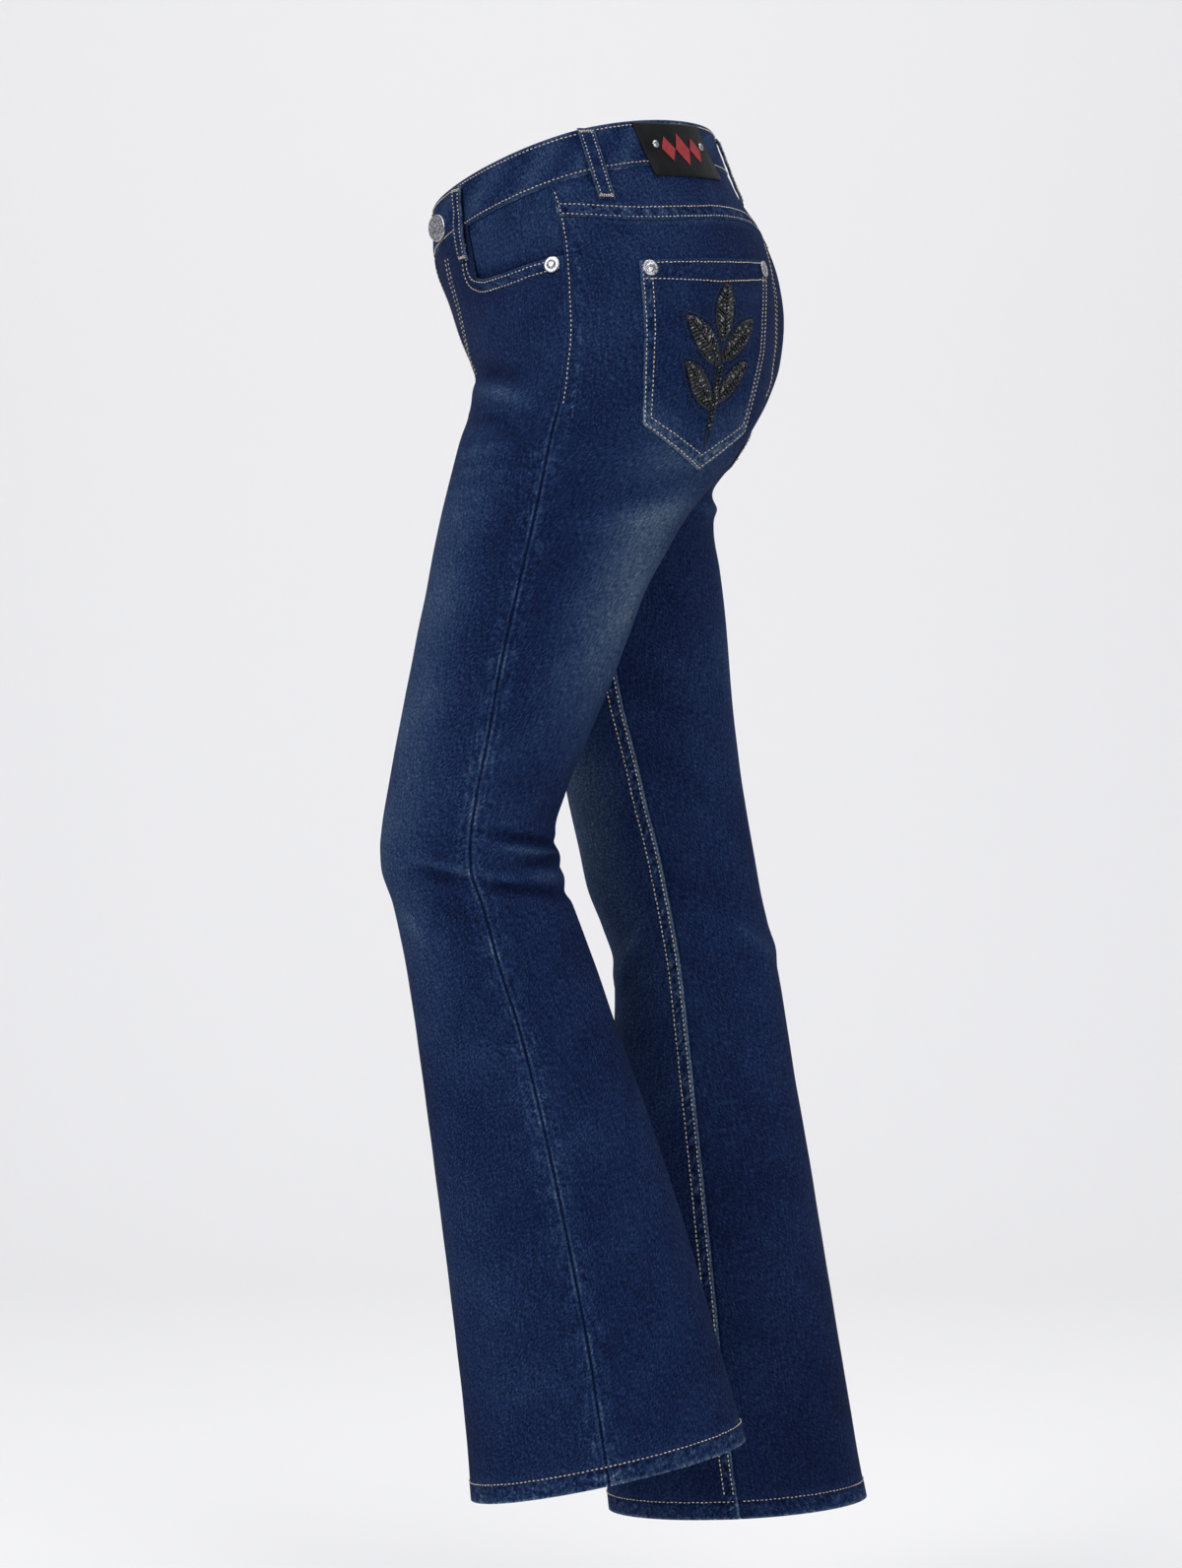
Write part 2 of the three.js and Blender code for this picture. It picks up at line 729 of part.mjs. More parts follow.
// Beaded leaf sprig: half width by share down its height, in shares of the pocket.
const appliqueThickness = 1.4;
const appliqueGap = 0.6;
const appliqueMiddle = 0.52;
const appliqueWidths = [0.02, 0.07, 0.07, 0.2, 0.24, 0.15, 0.06, 0.22, 0.22, 0.12, 0.035, 0.025];
const appliqueTop = 0.14;
const appliqueBottom = 0.88;
for (const side of sides) {
  const net = grid(5, appliqueWidths.length, (c, r) => {
    const down = between(appliqueTop, appliqueBottom, r / (appliqueWidths.length - 1));
    return { side, ...onPocket(side, appliqueMiddle + (c / 2 - 1) * appliqueWidths[r], down) };
  });
  const low = pocketTop + appliqueGap;
  addPiece(`applique_${side}`, wall(net, low + appliqueThickness, low), 0x101014);
}

// Belt loops: strips that stand a little off the band between their ends.
const loopThickness = 1.6;
const loopGap = 0.55;
const backLoopGap = 0.8;
const loopBow = 1.6;
const backLoopBow = 1.3;
const loopRows = 9;
const loopCorners = {
  front: [{ y: -85, z: -23 }, { y: -79.5, z: -79 }],
  side: [{ y: 8.8, z: 9.5 }, { y: 24.5, z: -43 }],
};

function addLoop(name, place, bow, gap) {
  const net = grid(3, loopRows, (c, r) => place(((c - 1) * loopWidth) / 2, r / (loopRows - 1)));
  const rise = (c, r) => gap + bow * Math.sin((Math.PI * r) / (loopRows - 1));
  const top = (c, r) => rise(c, r) + loopThickness;
  addPiece(name, wall(net, top, rise), denimColor);
}

for (const side of sides) {
  for (const [name, [high, low]] of Object.entries(loopCorners)) {
    const start = ringAt("left", high.y, high.z);
    const end = ringAt("left", low.y, low.z);
    addLoop(
      `belt_loop_${name}_${side}`,
      (shift, share) => ({ side, g: between(start, end, share), z: between(high.z, low.z, share), shift }),
      loopBow,
      loopGap,
    );
  }
}
const backLoopTop = 26;
const backLoopBottom = -24;
addLoop(
  "belt_loop_back",
  (shift, share) => ({
    side: shift < 0 ? "right" : "left",
    g: 2,
    shift: -Math.abs(shift),
    z: between(backLoopTop, backLoopBottom, share),
  }),
  backLoopBow,
  backLoopGap,
);

// Leather patch on the left back of the band, with two studs.
const leatherThickness = 1.6;
const patchCorners = {
  topSide: cornerOn(42, 16.5),
  topCentre: cornerOn(91, 23.5),
  lowSide: cornerOn(59.5, -22),
  lowCentre: cornerOn(109, -15.5),
};
const onPatch = (across, down) =>
  blend(
    blend(patchCorners.topSide, patchCorners.topCentre, across),
    blend(patchCorners.lowSide, patchCorners.lowCentre, across),
    down,
  );
const patchNet = grid(7, 4, (c, r) => ({ side: "left", ...onPatch(c / 6, r / 3) }));
addPiece("leather_patch", wall(patchNet, laidGap + leatherThickness, laidGap), 0x0c0c0e);

// A round metal piece: profile rows give radius and height above its seat.
const roundSegments = 14;

function turned(profile, seat, tilt = 0) {
  const axis = seat.normal.clone();
  const up = new THREE.Vector3(0, 0, 1);
  const wide = new THREE.Vector3().crossVectors(axis, up).normalize();
  axis.applyAxisAngle(up, tilt);
  wide.applyAxisAngle(up, tilt);
  const high = new THREE.Vector3().crossVectors(wide, axis).normalize();
  const positions = [];
  const index = [];
  const push = (v) => positions.push(v.x, v.y, v.z);
  const centreAt = (height) => seat.point.clone().addScaledVector(axis, height);
  for (const [radius, height] of profile) {
    for (let i = 0; i < roundSegments; i += 1) {
      const angle = (2 * Math.PI * i) / roundSegments;
      const v = centreAt(height);
      v.addScaledVector(wide, radius * Math.cos(angle));
      v.addScaledVector(high, radius * Math.sin(angle));
      push(v);
    }
  }
  const last = profile.length - 1;
  push(centreAt(profile[0][1]));
  push(centreAt(profile[last][1]));
  const lowCentre = profile.length * roundSegments;
  for (let i = 0; i < roundSegments; i += 1) {
    const next = (i + 1) % roundSegments;
    index.push(lowCentre, next, i);
    for (let k = 0; k < last; k += 1) {
      const a = k * roundSegments + i;
      const b = k * roundSegments + next;
      index.push(a, b, b + roundSegments, a, b + roundSegments, a + roundSegments);
    }
    index.push(last * roundSegments + i, last * roundSegments + next, lowCentre + 1);
  }
  return closed(positions, index);
}

const seatOn = (side, g, z, shift = 0) => grid(1, 1, () => ({ side, g, z, shift }))[0][0];
const steelColor = 0xc9ccd2;
const addMetal = (name, geometry) => addPiece(name, geometry, steelColor, 1, 0.3);
const raised = (profile, base) => profile.map(([radius, height]) => [radius, height + base]);
const rivetProfile = [
  [rivetRadius, 0],
  [rivetRadius, 0.9],
  [rivetRadius * 0.8, 1.8],
  [rivetRadius * 0.45, 2.1],
];
const studProfile = [
  [3, 0],
  [3, 0.7],
  [2, 1.4],
];
const buttonProfile = [
  [4.2, 0],
  [4.2, 3.4],
  [buttonRadius, 3.9],
  [buttonRadius, 5.4],
  [buttonRadius * 0.82, 6.1],
];
const buttonTilt = 0.42;
const buttonShift = 54;
const buttonZ = -49;
const buttonBase = 1.1;

const frontRivet = { y: -14.5, z: -90.5 };
const pocketCornerInset = 0.055;
const rivetDown = 0.05;
for (const side of sides) {
  const g = ringAt("left", frontRivet.y, frontRivet.z);
  addMetal(`rivet_front_${side}`, turned(raised(rivetProfile, seamGap), seatOn(side, g, frontRivet.z)));
  for (const [end, across] of [["side", pocketCornerInset], ["centre", 1 - pocketCornerInset]]) {
    const spot = onPocket(side, across, rivetDown);
    const seat = seatOn(side, spot.g, spot.z);
    addMetal(`rivet_back_${end}_${side}`, turned(raised(rivetProfile, pocketTop + 0.4), seat));
  }
}
for (const [name, across] of [["side", 0.16], ["centre", 0.84]]) {
  const spot = onPatch(across, 0.42);
  const base = laidGap + leatherThickness + 0.4;
  addMetal(`patch_stud_${name}`, turned(raised(studProfile, base), seatOn("left", spot.g, spot.z)));
}
const buttonSeat = seatOn("left", 0, buttonZ, buttonShift);
addMetal("waist_button", turned(raised(buttonProfile, buttonBase), buttonSeat, buttonTilt));

// Hidden closing of the fly: zip, its slider, and the shield behind them.
const flyColumns = (stops) => stops.map(([side, shift]) => ({ side, shift }));
const zipStops = flyColumns([["right", 14], ["right", 5], ["left", 5], ["left", 14]]);
const zipTop = -74;
const zipBottom = -146;
const zipRows = 5;
const zipNet = grid(zipStops.length, zipRows, (c, r) => ({
  ...zipStops[c],
  g: 0,
  z: between(zipTop, zipBottom, r / (zipRows - 1)),
}));
const zipOuter = -(cloth + 0.7);
const zipThickness = 1;
addPiece("zip_tape", wall(zipNet, zipOuter, zipOuter - zipThickness), 0x1c2a55);

const sliderNet = grid(2, 2, (c, r) => ({
  side: c === 0 ? "right" : "left",
  shift: 4,
  g: 0,
  z: between(-78, -88, r),
}));
const sliderOuter = zipOuter - zipThickness - 0.8;
addMetal("zip_slider", wall(sliderNet, sliderOuter, sliderOuter - 2.2));

const shieldStops = flyColumns([
  ["right", 40],
  ["right", 32],
  ["right", 22],
  ["right", 12],
  ["left", 2],
  ["left", 12],
]);
const shieldDepths = [1.9, 1.9, 4.6, 6.6, 6.6, 6.6];
const shieldNet = grid(shieldStops.length, zipRows, (c, r) => ({
  ...shieldStops[c],
  g: 0,
  z: between(zipTop, zipBottom - 4, r / (zipRows - 1)),
}));
const shieldOuter = (c) => -shieldDepths[c];
const shieldInner = (c) => -shieldDepths[c] - laidCloth;
addPiece("fly_shield", wall(shieldNet, shieldOuter, shieldInner), denimColor);

export default jeans;
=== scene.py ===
import math

import bmesh
import bpy
import numpy as np
from mathutils import Matrix, Vector


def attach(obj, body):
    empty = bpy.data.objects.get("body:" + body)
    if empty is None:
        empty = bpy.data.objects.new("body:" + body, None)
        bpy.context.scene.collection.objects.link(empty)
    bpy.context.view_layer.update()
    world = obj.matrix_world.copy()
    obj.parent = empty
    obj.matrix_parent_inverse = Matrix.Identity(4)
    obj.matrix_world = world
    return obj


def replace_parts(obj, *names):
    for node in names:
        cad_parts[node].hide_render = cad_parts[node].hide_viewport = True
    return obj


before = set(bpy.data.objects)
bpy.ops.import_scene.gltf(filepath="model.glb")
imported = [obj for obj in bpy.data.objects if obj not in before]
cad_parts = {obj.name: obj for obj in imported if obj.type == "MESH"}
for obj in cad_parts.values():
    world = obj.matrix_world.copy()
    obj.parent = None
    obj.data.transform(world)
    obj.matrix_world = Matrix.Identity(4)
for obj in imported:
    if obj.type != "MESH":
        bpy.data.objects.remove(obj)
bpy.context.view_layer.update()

# Shape rules are in millimetres; objects are in metres.
MM = 0.001
rng = np.random.default_rng(7)

HALF_GAP = 0.02
CLOTH = 1.3
LAID_CLOTH = 1.2
BAND_THICKNESS = 2.8
BAND_HEIGHT = 35
BAND_FRONT_EXTRA = 2
WAIST_SLOPE = 0.265
WAIST_HALF_DEPTH = 108
WAIST_SIDE_LIFT = 8
CROTCH_Z = -216
CROTCH_Y = 15
TURN_Z = -150
TURN_FRONT = -75.5
TURN_BACK = 151
HEM_DEPTH = 14
HEM_START = -980
SEAM_CLEARANCE = 0.05
SIDES = ("left", "right")

# Sections of each half: height, foremost and rearmost y, y of the widest point, x of the lobes,
# outer x, inner x below the crotch, y of the side seam.
COLUMNS = ("z", "front", "back", "mid", "lobe", "outer", "inner", "seam")
SECTIONS = {
    "left": (
        (34, -99, 104, 0, 14, 139, 0, -38),
        (10, -103.5, 111.5, 3, 14, 142, 0, -32),
        (-20, -106.5, 124, 6, 14, 146, 0, -22),
        (-50, -106, 142, 10, 15, 151, 0, -12),
        (-78, -101, 149.5, 14, 18, 157, 0, -7),
        (-110, -90, 151.5, 17, 26, 163, 0, -5),
        (-140, -80, 150.5, 18, 42, 166, 0, -4),
        (-163, -73, 147, 18, 56, 167, 0, -6),
        (-190, -78, 138, 17, 70, 165, 0, -9.5),
        (-216, -85.5, 124, 15, 80, 162, 0.15, -16),
        (-236, -90.5, 109, 10, 80.5, 159.5, 2, -20),
        (-263, -97, 86.5, -4, 80, 156, 4, -25.5),
        (-291, -103, 70, -16.5, 79.5, 152.5, 6, -32),
        (-323, -109, 53, -28, 79, 149, 8, -39.5),
        (-353, -115.5, 41.5, -37, 78, 146, 9.5, -46.5),
        (-384, -121.5, 30, -46, 77.5, 143.5, 11, -53),
        (-434, -131.3, 9.5, -61, 76, 140, 12.5, -62),
        (-472, -138, -5.8, -72, 75.5, 138, 13.5, -69.5),
        (-498, -142, -13, -77.5, 75, 136.5, 14, -73.5),
        (-511, -143.2, -11.6, -77.4, 75, 136, 14, -74.5),
        (-525, -142.5, -10.2, -76.4, 75, 135.5, 14, -74),
        (-554, -133.8, 0, -67, 75, 134.5, 14, -65),
        (-598, -124.3, 16, -54, 75.5, 134, 14.5, -53),
        (-640, -117.2, 30.5, -43.5, 76.5, 135.5, 14.5, -39.5),
        (-727, -105.7, 61.8, -22, 79, 140.5, 15, -18),
        (-800, -96, 85, -5.5, 81.5, 145, 15.5, -2.5),
        (-867, -87.5, 104.7, 8.6, 84, 149.5, 16.5, 10.5),
        (-948, -78.7, 126.5, 24, 86.5, 154, 18, 23),
        (-1000, -74.5, 137, 31, 88, 157, 19, 31),
    ),
    "right": (
        (34, -99, 105, 0, 16, 139, 0, -38),
        (10, -103.5, 113, 3, 17, 142, 0, -32),
        (-20, -106.5, 127, 6, 20, 146, 0, -22),
        (-50, -106, 147, 10, 28, 151, 0, -12),
        (-78, -101, 158, 14, 40, 157, 0, -7),
        (-110, -90, 162.5, 17, 50, 163, 0, -5),
        (-140, -80, 159.5, 18, 57, 166, 0, -4),
        (-163, -73, 152, 18, 64, 167, 0, -5),
        (-190, -76, 138, 17, 72, 165, 0, -6),
        (-216, -82, 121.5, 15, 80, 162, 0.15, -4),
        (-237, -85, 109, 14, 80.5, 159.5, 2, 2),
        (-266, -77, 109.5, 18, 80, 156, 4, 12),
        (-297, -60, 114.3, 23, 79.5, 152, 6, 23),
        (-328, -47, 118, 28, 79, 148.5, 8, 32),
        (-359, -37.5, 120.5, 30.5, 78, 145.5, 10, 39),
        (-390, -29, 122.8, 35, 77.5, 143, 11, 45),
        (-452, -10, 129.8, 50, 76, 139, 13, 59),
        (-483, -3.9, 134.4, 57, 75.5, 137.5, 13.5, 65),
        (-514, 3.1, 139.8, 65, 75, 136, 14, 71),
        (-545, 10, 145.2, 71.5, 75, 134.5, 14, 77),
        (-576, 22, 152, 77.5, 75, 134, 14, 86),
        (-606, 31, 158.4, 82.5, 75.5, 134, 14.5, 94),
        (-637, 31.6, 163.8, 86, 76.5, 135, 14.5, 97),
        (-699, 27.8, 173.8, 92.5, 78.5, 138.5, 15, 100),
        (-776, 21, 187, 100.5, 81, 143.5, 15.5, 103),
        (-854, 18, 200, 108.5, 84, 149, 16.5, 108),
        (-931, 19, 213, 116, 86.5, 153.5, 17.5, 115),
        (-993, 23.3, 223.3, 123, 88, 157, 19, 122),
        (-1050, 29, 235, 132, 89, 160, 20, 131),
    ),
}

# Centre seams above the turn of the rise: height, front y, back y.
RISE = (
    (34, -100.5, 105.5),
    (10, -104.5, 112.5),
    (-8, -106.5, 119),
    (-31, -108, 132),
    (-50, -107.5, 144),
    (-70, -105.5, 149.8),
    (-100, -94.5, 155),
    (-125, -86.5, 154.5),
    (-150, -75.5, 151),
)

HEMS = {"left": (-975.3, 0.217), "right": (-1034.5, 0.05)}

# Folds: side, face, y and z of both ends, half width, height out of the cloth (minus is a trough).
FOLDS = (
    ("left", "outer", -68, -500, -8, -509, 4.5, -3.9),
    ("left", "outer", -56, -510, -8, -515, 3.8, 2.6),
    ("left", "outer", -40, -523, -8, -519, 4, -3.2),
    ("left", "outer", -30, -531, -4, -533, 6, 2.2),
    ("left", "outer", -68, -538, -2, -545, 4.5, -4.2),
    ("left", "outer", -64, -531, -38, -535, 3.8, 2.0),
    ("left", "outer", -114, -520, -74, -529, 3.8, 2.2),
    ("left", "outer", -114, -528, -75, -537, 4.2, -2.8),
    ("left", "outer", -124, -556, -110, -582, 4.5, 1.6),
    ("left", "outer", -106, -545, -64, -572, 8, -1.5),
    ("left", "outer", -58, -470, 0, -462, 9, -1.2),
    ("left", "inner", -64, -500, 6, -504, 8, -3.2),
    ("left", "inner", -70, -514, -4, -519, 7, 2.4),
    ("left", "inner", -64, -540, 4, -543, 9, -3.8),
    ("left", "inner", -55, -566, 8, -578, 9, -1.8),
    ("right", "inner", 52, -570, 38, -595, 4, 1.9),
    ("right", "inner", 38, -595, 32, -620, 4, 1.7),
    ("right", "inner", 46, -600, 38, -628, 6, -1.8),
    ("right", "inner", 124, -570, 145, -588, 4, 1.6),
    ("right", "inner", 145, -588, 154, -600, 4, 1.2),
    ("right", "inner", 118, -588, 140, -608, 7, -1.3),
    ("right", "outer", 22, -598, 60, -570, 8, -3.0),
    ("right", "outer", 124, -566, 162, -600, 8, 2.4),
    ("right", "outer", 118, -588, 158, -618, 8, -2.0),
    ("right", "inner", 70, -258, 112, -240, 8, -2.2),
    ("right", "inner", 88, -248, 126, -249, 6.5, 2.7),
    ("right", "outer", 88, -248, 126, -249, 6.5, 2.7),
    ("left", "outer", 30, -262, 104, -236, 10, -2.2),
    ("left", "outer", 10, -282, 88, -258, 11, 1.6),
    ("right", "outer", 40, -250, 112, -238, 10, -1.8),
    ("left", "outer", -72, -158, -40, -170, 6, -3.2),
    ("left", "outer", -74, -172, -30, -190, 7, 2.4),
    ("left", "outer", -78, -192, -36, -216, 7, -2.6),
    ("right", "outer", -74, -162, -40, -176, 7, -2.2),
    ("right", "outer", -76, -182, -34, -206, 9, 1.4),
    ("left", "outer", -100, -36, -88, -62, 4, 0.9),
    ("left", "outer", -92, -28, -78, -52, 4, -0.8),
    ("right", "outer", -98, -34, -86, -60, 4, 0.9),
)


def monotone(xs, ys):
    """A smooth curve through rising xs without overshoot."""
    xs = np.asarray(xs, float)
    ys = np.asarray(ys, float)
    h = np.diff(xs)
    d = np.diff(ys) / h
    m = np.zeros(len(xs))
    m[0], m[-1] = d[0], d[-1]
    for i in range(1, len(xs) - 1):
        if d[i - 1] * d[i] > 0:
            a = 2 * h[i] + h[i - 1]
            b = h[i] + 2 * h[i - 1]
            m[i] = (a + b) / (a / d[i - 1] + b / d[i])

    def curve(x):
        x = np.asarray(x, float)
        i = np.clip(np.searchsorted(xs, x) - 1, 0, len(xs) - 2)
        s = np.clip((x - xs[i]) / h[i], 0, 1)
        return (
            (2 * s**3 - 3 * s**2 + 1) * ys[i]
            + (s**3 - 2 * s**2 + s) * h[i] * m[i]
            + (3 * s**2 - 2 * s**3) * ys[i + 1]
            + (s**3 - s**2) * h[i] * m[i + 1]
        )

    return curve


def table_curves(rows, names):
    rising = np.array(rows, float)[::-1]
    return {name: monotone(rising[:, 0], rising[:, i + 1]) for i, name in enumerate(names)}


SHAPE = {side: table_curves(SECTIONS[side], COLUMNS[1:]) for side in SIDES}
UPPER_RISE = table_curves(RISE, ("front", "back"))


def rise(z, which):
    if z >= TURN_Z:
        return float(UPPER_RISE[which](z))
    drop = min(1.0, (TURN_Z - z) / (TURN_Z - CROTCH_Z))
    if which == "front":
        return CROTCH_Y + (TURN_FRONT - CROTCH_Y) * (1 - drop) ** (1 / 2.8)
    return CROTCH_Y + (TURN_BACK - CROTCH_Y) * (1 - drop * drop) ** (1 / 2.4)


QUARTER = np.linspace(0, math.pi / 2, 49)
INNER = np.linspace(0, 1, 33)


def inner_quarter(s, depth, end_y, sign, below):
    reach = s["lobe"] - (s["inner"] if below else HALF_GAP)
    ratio = 0.0 if below else (end_y - s["mid"]) / (sign * depth)
    peak = s["mid"] + sign * depth
    if ratio >= 0.999:
        away = 1 - INNER
        return np.stack([s["lobe"] - reach * away, peak + (end_y - peak) * away**2], 1)
    start = math.asin(max(0.0, ratio))
    angle = start + (math.pi / 2 - start) * INNER
    width = reach / math.cos(start)
    return np.stack([s["lobe"] - width * np.cos(angle), s["mid"] + sign * depth * np.sin(angle)], 1)


def outer_quarter(s, depth, sign, power):
    x = s["lobe"] + (s["outer"] - s["lobe"]) * np.sin(QUARTER[1:]) ** (2 / power)
    y = s["mid"] + sign * depth * np.maximum(0, np.cos(QUARTER[1:])) ** (2 / power)
    return np.stack([x, y], 1)


HALF_SAMPLES = 129


def ring(side, z):
    """x and y round half a section: from the front centre to the side seam, then to the back centre."""
    s = {name: float(curve(z)) for name, curve in SHAPE[side].items()}
    below = z < CROTCH_Z - 0.001
    power = 2.06 - 0.3 * min(1.0, max(0.0, (z + 260) / 200))
    front_depth = s["mid"] - s["front"]
    back_depth = s["back"] - s["mid"]
    front = np.vstack([
        inner_quarter(s, front_depth, rise(z, "front"), -1, below),
        outer_quarter(s, front_depth, -1, power),
    ])
    back = np.vstack([
        inner_quarter(s, back_depth, rise(z, "back"), 1, below),
        outer_quarter(s, back_depth, 1, power)[:-1],
    ])
    points = np.vstack([front, back[::-1]])
    lengths = np.concatenate([[0], np.cumsum(np.hypot(*np.diff(points, axis=0).T))])
    low, high = len(INNER) - 1, len(points) - len(INNER)
    seam = np.interp(s["seam"], points[low : high + 1, 1], lengths[low : high + 1])
    total = lengths[-1]
    to_seam = np.linspace(0, seam, HALF_SAMPLES)
    to_back = np.linspace(seam, total, HALF_SAMPLES)[1:]
    targets = np.concatenate([to_seam, to_back])
    samples = np.stack([np.interp(targets, lengths, points[:, k]) for k in (0, 1)], 1)
    return samples, seam, total - seam, s["lobe"], s["mid"]


TOP_Z = 36.0
LEVEL_STEP = 0.5
LEVEL_COUNT = int((TOP_Z + 1060) / LEVEL_STEP)
RING_PARTS = ("xy", "front", "back", "lobe", "mid")
RINGS = {}
for side in SIDES:
    rows = [ring(side, TOP_Z - LEVEL_STEP * i) for i in range(LEVEL_COUNT)]
    RINGS[side] = {part: np.array(values) for part, values in zip(RING_PARTS, zip(*rows))}


# Creases stand out more sharply here than in the part's own solids.
FOLD_GAIN = 1.25
FOLD_WIDTH = 0.95


def bump_at(value, centre, half):
    return np.exp(-(((value - centre) / half) ** 2))


def fold_height(side, outer, y, z):
    """How far the folds raise or sink the cloth at y and z."""
    total = np.zeros_like(y)
    for fold_side, face, y1, z1, y2, z2, half, height in FOLDS:
        if fold_side != side:
            continue
        dy, dz = y2 - y1, z2 - z1
        share = np.clip(((y - y1) * dy + (z - z1) * dz) / (dy * dy + dz * dz), 0, 1)
        away = np.hypot(y - y1 - dy * share, z - z1 - dz * share)
        taper = 0.35 + 0.65 * np.sin(np.pi * np.clip(share, 0.02, 0.98))
        mask = outer if face == "outer" else ~outer
        total += np.where(mask, FOLD_GAIN * height * taper * bump_at(away, 0, FOLD_WIDTH * half), 0)
    return total


def lookup(table, row, weight):
    return table[row] * (1 - weight) + table[row + 1] * weight


def surface(side, g, z, shift=0.0):
    """Points of the cloth's outer face, in mm. g is 0 at the front centre, 1 at the side, 2 behind."""
    data = RINGS[side]
    g, z, shift = (np.asarray(value, float) for value in (g, z, shift))
    g, z, shift = np.broadcast_arrays(g, z, shift)
    level = np.clip((TOP_Z - z) / LEVEL_STEP, 0, LEVEL_COUNT - 1.001)
    row = level.astype(int)
    weight = level - row
    in_front = g + 0.0001 * shift < 1
    span = np.where(in_front, lookup(data["front"], row, weight), lookup(data["back"], row, weight))
    at = np.clip(g + shift / span, 0, 2) * (HALF_SAMPLES - 1)
    column = np.clip(at.astype(int), 0, 2 * HALF_SAMPLES - 3)
    part = at - column
    xy = data["xy"]
    w, p = weight[..., None], part[..., None]
    upper = xy[row, column] * (1 - p) + xy[row, column + 1] * p
    lower = xy[row + 1, column] * (1 - p) + xy[row + 1, column + 1] * p
    flat = upper * (1 - w) + lower * w
    lobe = lookup(data["lobe"], row, weight)
    mid = lookup(data["mid"], row, weight)
    x, y = flat[..., 0], flat[..., 1]
    away = np.maximum(1, np.hypot(x - lobe, y - mid))
    height = fold_height(side, x >= lobe, y, z)
    x = x + height * (x - lobe) / away
    y = y + height * (y - mid) / away
    return np.stack([x if side == "left" else -x, y, z], -1)


def unit(v):
    return v / np.maximum(1e-9, np.linalg.norm(v, axis=-1, keepdims=True))


def outward(side, g, z, shift=0.0, step=1.5):
    """Directions out of the cloth, from points a step away on each side."""
    z, shift = np.asarray(z), np.asarray(shift)
    around = surface(side, g, z, shift + step) - surface(side, g, z, shift - step)
    down = surface(side, g, z - step, shift) - surface(side, g, z + step, shift)
    normal = np.cross(around, down)
    if side == "right":
        normal = -normal
    return unit(-normal)


def raised(side, g, z, lift, shift=0.0):
    """Points at a height over the cloth, and the directions out of it."""
    normals = outward(side, g, z, shift)
    return surface(side, g, z, shift) + normals * np.asarray(lift)[..., None], normals


def waist_top(y):
    across = y / WAIST_HALF_DEPTH
    return WAIST_SLOPE * y + WAIST_SIDE_LIFT * (1 - across**2)


def waist_seam(y):
    return waist_top(y) - BAND_HEIGHT - BAND_FRONT_EXTRA * np.clip(-y / WAIST_HALF_DEPTH, 0, 1)


def height_on(side, g, line, start, steps=16):
    """Height at which a sloping line, given by y, crosses each ring position."""
    z = np.full(np.shape(g), float(start))
    for _ in range(steps):
        z = line(surface(side, g, z)[..., 1])
    return z


def under_band(side, g, start):
    """Height just below the waistband's lower edge."""
    return height_on(side, g, lambda y: waist_seam(y) - SEAM_CLEARANCE, start)


def ring_at(side, y, z):
    g = np.linspace(0.2, 1.95, 1401)
    ys = surface(side, g, np.full_like(g, z))[:, 1]
    rising = np.maximum.accumulate(ys)
    return float(np.interp(y, rising, g))


# Mesh building.


def make_object(name, points, faces, attributes=None, smooth=True):
    mesh = bpy.data.meshes.new(name)
    mesh.from_pydata((np.asarray(points).reshape(-1, 3) * MM).tolist(), [], faces)
    for key, values in (attributes or {}).items():
        values = np.asarray(values, float)
        if values.shape[-1:] == (3,) and values.ndim > 1:
            layer = mesh.attributes.new(key, "FLOAT_VECTOR", "POINT")
            layer.data.foreach_set("vector", values.reshape(-1))
        else:
            layer = mesh.attributes.new(key, "FLOAT", "POINT")
            layer.data.foreach_set("value", values.reshape(-1))
    mesh.update()
    if smooth:
        mesh.shade_smooth()
    obj = bpy.data.objects.new(name, mesh)
    bpy.context.collection.objects.link(obj)
    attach(obj, "root")
    return obj


def grid_faces(columns, rows, flip):
    c, r = np.meshgrid(np.arange(columns - 1), np.arange(rows - 1), indexing="ij")
    a = c * rows + r
    quads = np.stack([a, a + 1, a + rows + 1, a + rows], -1).reshape(-1, 4)
    if flip:
        quads = quads[:, ::-1]
    return quads.tolist()


def cloth_coordinates(points):
    """Lengths across and down the grid, in metres, from its middle column and top row."""
    across = np.zeros(points.shape[:2])
    across[1:] = np.cumsum(np.linalg.norm(np.diff(points, axis=0), axis=-1), axis=0)
    across -= across[len(across) // 2]
    down = np.zeros(points.shape[:2])
    down[:, 1:] = np.cumsum(np.linalg.norm(np.diff(points, axis=1), axis=-1), axis=1)
    return np.stack([across * MM, down * MM, np.zeros_like(down)], -1)


def cloth_piece(name, stands_for, points, wall, wear_and_shading, flip=False, material=None,
                rope=None):
    """A sheet with its outer face on points[column][row], given a wall inward."""
    rope = np.zeros(points.shape[:2]) if rope is None else rope
    attributes = {"cloth": cloth_coordinates(points), "wear_and_shading": np.clip(wear_and_shading, 0, 1), "rope": rope}
    obj = make_object(name, points, grid_faces(*points.shape[:2], flip), attributes)
    solid = obj.modifiers.new("wall", "SOLIDIFY")
    solid.thickness = wall * MM
    solid.offset = -1
    solid.use_even_offset = False
    obj.data.materials.append(material or denim)
    declare(points)
    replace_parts(obj, stands_for)


